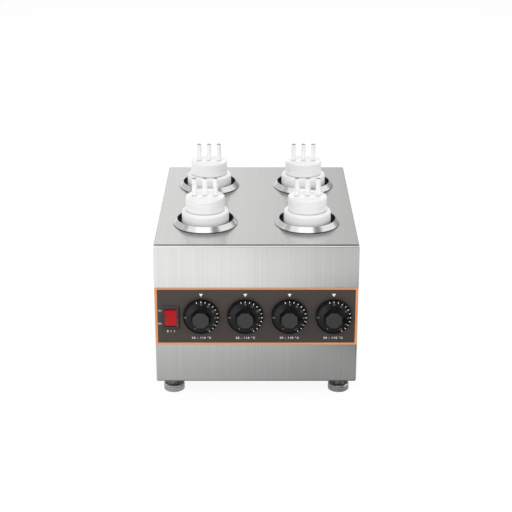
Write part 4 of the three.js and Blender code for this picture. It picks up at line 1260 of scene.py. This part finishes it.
def screw_shape():
    """A pan-head screw with a cross recess, its head standing along +Z from z = 0."""
    sizes = settings().rear
    top, deep = sizes.screw_head, sizes.recess_depth
    arm, half = 2.1 * MM, 0.375 * MM
    stem, head, crown, tip = 2 * MM, 3.6 * MM, 2.6 * MM, -7.7 * MM
    cross = []
    for quarter in range(4):
        turn = Matrix.Rotation(math.radians(90 * quarter), 2)
        cross += [tuple(turn @ Vector(c)) for c in ((half, half), (half, arm), (-half, arm))]
    face = plate([circle(0, 0, crown, 32), cross], top - deep, top)
    outline = [
        (0, tip), (stem, tip), (stem, 0), (head, 0), (head, top * 0.45), (crown, top),
        (crown, top - deep), (0, top - deep),
    ]
    radii = [0, 0.4 * MM, 0.1 * MM, 0.2 * MM, 1.3 * MM, 0, 0, 0]
    return turned(softened(outline, radii), 32).add(face)


def gland_shape():
    """The cord gland: a hexagon, a ribbed dome nut and an open bore, along +Z."""
    sizes = settings().rear
    bore, pipe, collar, nut = 5.2 * MM, 8 * MM, 9.2 * MM, 10 * MM
    tail, seat, end = -10.7 * MM, 0.3 * MM, 18.3 * MM
    hexagon = [polygon(0, 0, sizes.gland_flats, 6), circle(0, 0, 9 * MM, 40)]
    outline = [
        (bore, tail), (pipe, tail), (pipe, seat), (collar, seat), (collar, 6.8 * MM), (nut, 7.2 * MM),
        (nut, 14.3 * MM), (pipe, end), (bore, end),
    ]
    radii = [0, 0.5 * MM, 0, 0, 0.2 * MM, 0.3 * MM, 2 * MM, 1.2 * MM, 0]
    shape = plate(hexagon, seat, 6.3 * MM, 0.6 * MM)
    shape.add(turned(softened(outline, radii), 48, closed=True))
    rib_loop = centred_rect(nut, 0, 0.8 * MM, 1.4 * MM, 0.3 * MM, 3)
    rib = plate([rib_loop], 7.6 * MM, 13.8 * MM, 0.2 * MM)
    for i in range(sizes.gland_ribs):
        shape.add(rib.moved(Matrix.Rotation(2 * math.pi * i / sizes.gland_ribs, 4, "Z")))
    return shape


# The operators

class WARMER_OT_finishes(bpy.types.Operator):
    """Makes every finish the warmer needs"""
    bl_idname = "warmer.finishes"
    bl_label = "Finishes"

    def execute(self, context):
        make_finishes()
        return {"FINISHED"}


class WARMER_OT_cabinet(bpy.types.Operator):
    """Builds the folded shell, the lid, the rear cover and the floor"""
    bl_idname = "warmer.cabinet"
    bl_label = "Cabinet"

    def execute(self, context):
        for name, shape, finishes, slot_name, node in (
            ("cabinet_shell", shell_shape(), ["cabinet_steel", "upper_bend_painted_highlight", "lower_bend_painted_shade"],
             "cabinet_steel", "body_shell"),
            ("lid", lid_shape(), ["lid_steel", "lid_edge_painted_shade"], "cabinet_steel", "top_plate"),
            ("rear_cover", back_cover_shape(), ["cabinet_steel"], "cabinet_steel", "rear_panel"),
            ("floor_sheet", floor_sheet_shape(), ["zinc_plate"], "zinc_steel", "base_plate"),
        ):
            make_piece(name, shape, "cabinet", finishes, [node])
        return {"FINISHED"}


class WARMER_OT_wells(bpy.types.Operator):
    """Builds the four heated cups and their collars"""
    bl_idname = "warmer.wells"
    bl_label = "Wells"

    def execute(self, context):
        for i in NUMBERS:
            pot, ring = f"well_pot_{i}", f"well_ring_{i}"
            place = middle(pot)
            centre = (place.x, place.y, LID_HIGH.z)
            cup = cup_shape(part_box(pot)[0].z - LID_HIGH.z)
            make_piece(f"well_cup_{i}", cup, "cabinet", ["cup_steel_painted_shade"], [pot], centre)
            make_piece(
                f"well_collar_{i}", collar_shape(), "cabinet", ["collar_steel", "collar_painted_shade"],
                [ring], centre,
            )
        return {"FINISHED"}


class WARMER_OT_bottles(bpy.types.Operator):
    """Builds the four squeeze bottles and their three-nozzle caps"""
    bl_idname = "warmer.bottles"
    bl_label = "Bottles"

    def execute(self, context):
        for i in NUMBERS:
            bottle, cap = f"bottle_{i}", f"cap_{i}"
            low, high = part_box(bottle)
            place = middle(bottle)
            shoulder = high.z - low.z - settings().bottle.neck_height
            make_piece(
                f"sauce_bottle_{i}", bottle_shape(shoulder), bottle, ["bottle_white"],
                [bottle], (place.x, place.y, low.z),
            )
            make_piece(
                f"nozzle_cap_{i}", cap_shape(), cap, ["cap_white", "nozzle_painted_shade", "cap_painted_shade"],
                [cap], (place.x, place.y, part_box(cap)[0].z),
            )
        return {"FINISHED"}


class WARMER_OT_panel(bpy.types.Operator):
    """Builds the control panel, its border and its printing"""
    bl_idname = "warmer.panel"
    bl_label = "Control panel"

    def execute(self, context):
        self.make_film()
        self.make_border()
        self.print_dial_marks()
        self.print_switch_marks()
        return {"FINISHED"}

    def border_window(self, over=0.0):
        """The corners of the border's window, or of one that goes under the border."""
        sizes = settings().panel
        side = sizes.border_side - over
        return (
            BORDER_LOW.x + side, BORDER_LOW.z + sizes.border_foot - over,
            BORDER_HIGH.x - side, BORDER_HIGH.z - sizes.border_top + over,
        )

    def make_film(self):
        sizes = settings().panel
        switch = middle("switch_housing")
        loops = [rounded_rect(*self.border_window(sizes.border_lip / 2), 0.5 * MM)]
        loops += [circle(place.x, place.z, sizes.shaft_hole, 32) for place in middles("knob")]
        loops.append(centred_rect(switch.x, switch.z, sizes.cut_width, sizes.cut_height, 1 * MM))
        film = plate(loops, -PANEL_HIGH.y, -PANEL_LOW.y, sizes.edge).moved(UPRIGHT)
        make_piece("panel_film", film, "cabinet", ["panel_film"], ["control_panel"])

    def make_border(self):
        """The border, with its inner lip set apart."""
        sizes = settings().panel
        outer = rounded_rect(BORDER_LOW.x, BORDER_LOW.z, BORDER_HIGH.x, BORDER_HIGH.z, 1 * MM)
        window = self.border_window()
        left, foot, right, top = window
        border = plate(
            [outer, rounded_rect(*window, 0.5 * MM)], -BORDER_HIGH.y, -BORDER_LOW.y, sizes.border_lip
        )
        lip = sizes.border_lip + HAIR
        border.set_apart(
            lambda corners: all(
                left - lip < c.x < right + lip and foot - lip < c.y < top + lip for c in corners
            )
        )
        make_piece(
            "border_film", border.moved(UPRIGHT), "cabinet", ["border_film", "border_lip"],
            ["panel_trim"],
        )

    def print_dial_marks(self):
        """A pointer over each dial and the range under it."""
        sizes = settings().panel
        face, half = -PANEL_LOW.y, sizes.pointer_width / 2
        for i, place in zip(NUMBERS, middles("knob")):
            x, top = place.x, place.z + sizes.pointer_top
            corners = [(x - half, top), (x, top - sizes.pointer_height), (x + half, top)]
            marks = plate([corners], face, face + sizes.ink)
            label = lettering(sizes.range_label, sizes.label_height, sizes.ink, 1.4, weight=0.035)
            marks.add(label.shifted(x, place.z - sizes.label_drop, face))
            make_piece(
                f"dial_print_{i}", marks.moved(UPRIGHT), "cabinet", ["white_ink"]
            )

    def print_switch_marks(self):
        sizes = settings().panel
        face, switch = -PANEL_LOW.y, middle("switch_housing")
        marks = lettering(sizes.switch_label, sizes.label_height, sizes.ink, 1.5, weight=0.03)
        marks = marks.shifted(switch.x, switch.z - sizes.switch_drop, face)
        for word, height in (("ON", sizes.mark_on), ("OFF", sizes.mark_off)):
            text = lettering(word, sizes.mark_height, sizes.ink)
            marks.add(text.shifted(switch.x - sizes.mark_aside, switch.z + height, face))
        make_piece("switch_print", marks.moved(UPRIGHT), "cabinet", ["white_ink"])


class WARMER_OT_dials(bpy.types.Operator):
    """Builds the four dials with their grips, faces and marks"""
    bl_idname = "warmer.dials"
    bl_label = "Dials"

    def execute(self, context):
        parts = (
            ("dial", dial_shape(), ["dial_black", "dial_ring"]),
            ("grip", grip_shape(), ["dial_black"]),
            ("grip_face", grip_face_shape(), ["grip_face"]),
            ("dial_ticks", dial_ticks_shape(), ["white_ink"]),
            ("dial_numbers", dial_numbers_shape(), ["number_ink"]),
        )
        for i in NUMBERS:
            body = f"knob_{i}"
            place = middle(body)
            centre = (place.x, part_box(body)[1].y, place.z)
            for name, shape, finishes in parts:
                nodes = [body] if name == "dial" else ()
                make_piece(
                    f"{name}_{i}", shape.moved(UPRIGHT), body, finishes, nodes, centre
                )
            dress_node(f"thermostat_shaft_{i}", "zinc_plate")
        return {"FINISHED"}


class WARMER_OT_switch(bpy.types.Operator):
    """Builds the switch's frame and its rocker"""
    bl_idname = "warmer.switch"
    bl_label = "Switch"

    def execute(self, context):
        make_piece(
            "switch_frame", frame_shape(), "cabinet", ["frame_black"],
            ["switch_housing"],
        )
        pivot = next(j for j in frame["joints"] if j["name"] == "rocker_tilt")["pos_m"]
        make_piece(
            "rocker_key", rocker_shape(), "rocker", ["rocker_red"],
            ["switch_rocker"], pivot,
        )
        return {"FINISHED"}


class WARMER_OT_feet(bpy.types.Operator):
    """Builds the four levelling feet"""
    bl_idname = "warmer.feet"
    bl_label = "Feet"

    def execute(self, context):
        for i in NUMBERS:
            foot = f"foot_{i}"
            place = middle(foot)
            make_piece(
                f"levelling_foot_{i}", foot_shape(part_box(foot)[1].z), foot,
                ["foot_steel", "foot_painted_shade"], [foot], (place.x, place.y, 0),
            )
        return {"FINISHED"}


class WARMER_OT_rear_fittings(bpy.types.Operator):
    """Builds the rear cover's screws and the cord gland"""
    bl_idname = "warmer.rear_fittings"
    bl_label = "Rear fittings"

    def execute(self, context):
        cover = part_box("rear_panel")[1].y
        for i, place in zip(NUMBERS, middles("rear_screw")):
            # No two screws were driven to the same turn
            turn = Matrix.Rotation(math.radians(20 + 25 * i), 4, "Z")
            make_piece(
                f"cover_screw_{i}", screw_shape().moved(BACKWARDS @ turn), "cabinet",
                ["zinc_plate"], [f"rear_screw_{i}"],
                (place.x, cover + 0.3 * MM, place.z),
            )
        place = middle("cable_gland")
        make_piece(
            "cord_gland", gland_shape().moved(BACKWARDS), "cabinet", ["black_nylon"],
            ["cable_gland"], (place.x, cover, place.z),
        )
        dress_node("gland_nut", "black_nylon")
        return {"FINISHED"}


class WARMER_OT_inner_parts(bpy.types.Operator):
    """Finishes the heaters, thermostats, tubes, wiring and seals inside"""
    bl_idname = "warmer.inner_parts"
    bl_label = "Inner parts"

    def execute(self, context):
        for i in NUMBERS:
            dress_node(f"heater_band_{i}", "zinc_plate")
            dress_node(f"thermostat_{i}", "black_nylon")
            dress_node(f"capillary_{i}", "copper_tube")
            dress_node(f"cap_seal_{i}", "seal_rubber")
        dress_node("terminal_block", "block_white")
        dress_node("wiring_loom", "woven_sleeve")
        return {"FINISHED"}


class WARMER_OT_stage(bpy.types.Operator):
    """Sets up the floor, the studio light and the camera"""
    bl_idname = "warmer.stage"
    bl_label = "Stage"

    def execute(self, context):
        self.make_floor()
        self.make_world()
        self.make_lamps()
        self.make_camera()
        context.scene.view_settings.view_transform = "Standard"
        return {"FINISHED"}

    # What metal shows of the room: bright boxes and dark flags. Each has its bearing from the
    # front towards +X and its height above level, the angles where it is full and where it has
    # faded out, and its strength.
    SIGHTS = (
        ("low_flag", 25, 6, 26, 46, 0.3),
        ("left_box", -42, 8, 10, 24, 2.0),
        ("front_box", -8, 52, 14, 30, 1.6),
        ("front_flag", 47, 47, 5, 16, 0.38),
        ("back_flag", 150, 14, 10, 34, 0.42),
        ("left_flag", -122, 15, 15, 42, 0.8),
        ("left_stripe", -89, 38, 4, 12, 0.65),
        ("top_flag", 180, 62, 25, 36, 0.34),
    )

    def make_floor(self):
        stage = settings().stage
        half = 6.0
        mesh = bpy.data.meshes.new("floor")
        corners = [(-half, -half, 0), (half, -half, 0), (half, half, 0), (-half, half, 0)]
        mesh.from_pydata(corners, [], [(0, 1, 2, 3)])
        paint = Finish("floor_paint", stage.floor, 0.9)
        mesh.materials.append(paint.material)
        path = paint.node("ShaderNodeLightPath").outputs
        seen = paint.math("MAXIMUM", path["Is Camera Ray"], path["Is Transmission Ray"])
        glow = paint.node("ShaderNodeEmission", Strength=stage.glow).outputs[0]
        lifted = paint.mix(
            paint.math("MULTIPLY", seen, stage.lift), paint.shader.outputs[0], glow
        )
        mirrored = paint.node("ShaderNodeEmission", Strength=1.0)
        paint.link(self.floor_shade(paint), mirrored.inputs["Color"])
        both = paint.mix(path["Is Glossy Ray"], lifted, mirrored.outputs[0])
        out = next(n for n in paint.tree.nodes if n.type == "OUTPUT_MATERIAL")
        paint.link(both, out.inputs["Surface"])
        put_in_scene("floor", mesh)

    def floor_shade(self, paint):
        """The floor as metal shows it: painted shade, darker close to the cabinet and to its right."""
        stage = settings().stage
        parts = paint.node("ShaderNodeSeparateXYZ")
        paint.link(paint.node("ShaderNodeTexCoord").outputs["Object"], parts.inputs[0])
        away = []
        for axis, half in (("X", SHELL_HIGH.x), ("Y", SHELL_HIGH.y)):
            size = paint.math("ABSOLUTE", parts.outputs[axis])
            beyond = paint.math("MAXIMUM", paint.math("SUBTRACT", size, half), 0)
            away.append(paint.math("MULTIPLY", beyond, beyond))
        distance = paint.math("POWER", paint.math("ADD", *away), 0.5)
        x = parts.outputs["X"]
        # Places in metres along X, and from the cabinet, between which each value goes over
        near_side, far_side, card_side = (-0.25, 0.15), (-0.10, 0.42), (0.08, 0.26)
        card_start, card_end = (0.10, 0.17), (0.56, 0.42)
        near = paint.span(x, *near_side, stage.near_left, stage.near_right, "SMOOTHSTEP")
        far = paint.span(x, *far_side, stage.far_left, stage.far_right, "SMOOTHSTEP")
        part = paint.span(distance, 0, stage.reach, 0, 1)
        step = paint.math("MULTIPLY", part, paint.math("SUBTRACT", far, near))
        level = paint.math("ADD", near, step)
        # A painted dark patch on the floor's right, seen only in metal, stands for a black card
        card = paint.span(x, *card_side, 0, stage.card, "SMOOTHSTEP")
        for place in (card_start, card_end):
            card = paint.math("MULTIPLY", card, paint.span(distance, *place, 0, 1, "SMOOTHSTEP"))
        return paint.math("MULTIPLY", level, paint.math("SUBTRACT", 1, card))

    def make_world(self):
        stage = settings().stage
        world = bpy.data.worlds.new("studio")
        bpy.context.scene.world = world
        world.use_nodes = True
        room = Nodes(world.node_tree)
        room.tree.nodes.clear()
        path = room.node("ShaderNodeLightPath").outputs
        direct = room.math("MAXIMUM", path["Is Camera Ray"], path["Is Transmission Ray"])
        unseen = room.math("MULTIPLY", room.math("SUBTRACT", 1, direct), stage.room)
        even = room.math("ADD", room.math("MULTIPLY", direct, stage.backdrop), unseen)
        glossy = path["Is Glossy Ray"]
        in_metal = room.math("MULTIPLY", glossy, self.room_in_metal(room))
        elsewhere = room.math("MULTIPLY", room.math("SUBTRACT", 1, glossy), even)
        light = room.node("ShaderNodeBackground")
        room.link(room.math("ADD", in_metal, elsewhere), light.inputs["Strength"])
        out = room.node("ShaderNodeOutputWorld")
        room.link(light.outputs[0], out.inputs["Surface"])

    def room_in_metal(self, room):
        """The strength of the room's boxes and flags in each direction."""
        direction = room.node("ShaderNodeTexCoord").outputs["Generated"]
        level = settings().stage.mirrored
        for name, bearing, rise, full, faded, strength in self.SIGHTS:
            turn, tilt = math.radians(bearing), math.radians(rise)
            towards = (math.sin(turn) * math.cos(tilt), -math.cos(turn) * math.cos(tilt), math.sin(tilt))
            facing = room.node("ShaderNodeVectorMath")
            facing.label = name
            facing.operation = "DOT_PRODUCT"
            facing.inputs[1].default_value = towards
            room.link(direction, facing.inputs[0])
            none, whole = math.cos(math.radians(faded)), math.cos(math.radians(full))
            part = room.span(facing.outputs["Value"], none, whole, 0, 1, "SMOOTHSTEP")
            step = room.math("MULTIPLY", part, room.math("SUBTRACT", strength, level))
            level = room.math("ADD", level, step)
        return level

    def make_lamps(self):
        # Each with its place, its width and its power in watts
        lamps = (
            ("key", (-1.5, -1.6, 1.8), 1.6, 30),
            ("fill", (1.8, -1.6, 1.2), 1.6, 19),
            ("back", (0.4, 1.9, 1.9), 1.8, 36),
        )
        for name, place, size, power in lamps:
            data = bpy.data.lights.new(name, "AREA")
            data.shape = "SQUARE"
            data.size = size
            data.energy = power
            lamp = put_in_scene(name, data)
            lamp.visible_glossy = False
            lamp.location = place
            aim = Vector((0, 0, 0.15)) - Vector(place)
            lamp.rotation_mode = "QUATERNION"
            lamp.rotation_quaternion = aim.to_track_quat("-Z", "Y")

    def make_camera(self):
        stage = settings().stage
        data = bpy.data.cameras.new("camera")
        data.sensor_width = 36
        data.lens = stage.lens
        camera = put_in_scene("camera", data)
        camera.location = stage.camera
        camera.rotation_euler = (math.radians(90) - stage.pitch, 0, 0)
        bpy.context.scene.camera = camera


BUILDERS = (
    WARMER_OT_finishes, WARMER_OT_cabinet, WARMER_OT_wells, WARMER_OT_bottles, WARMER_OT_panel,
    WARMER_OT_dials, WARMER_OT_switch, WARMER_OT_feet, WARMER_OT_rear_fittings,
    WARMER_OT_inner_parts, WARMER_OT_stage,
)


class WARMER_PT_sidebar(bpy.types.Panel):
    """Lists the steps that dress the warmer"""
    bl_idname = "WARMER_PT_sidebar"
    bl_label = "Sauce bottle warmer"
    bl_space_type = "VIEW_3D"
    bl_region_type = "UI"
    bl_category = "Warmer"

    def draw(self, context):
        for builder in BUILDERS:
            self.layout.operator(builder.bl_idname)


CLASSES = (
    CabinetSizes, RearSizes, WellSizes, BottleSizes, DialSizes, PanelSizes, SwitchSizes,
    FootSizes, WarmerColours, StageSettings, WarmerSettings, *BUILDERS, WARMER_PT_sidebar,
)


def register():
    for item in CLASSES:
        bpy.utils.register_class(item)
    bpy.types.Scene.warmer = PointerProperty(type=WarmerSettings)


def unregister():
    del bpy.types.Scene.warmer
    for item in reversed(CLASSES):
        bpy.utils.unregister_class(item)


def main():
    register()
    for builder in BUILDERS:
        group, name = builder.bl_idname.split(".")
        getattr(getattr(bpy.ops, group), name)()


if __name__ == "__main__":
    main()
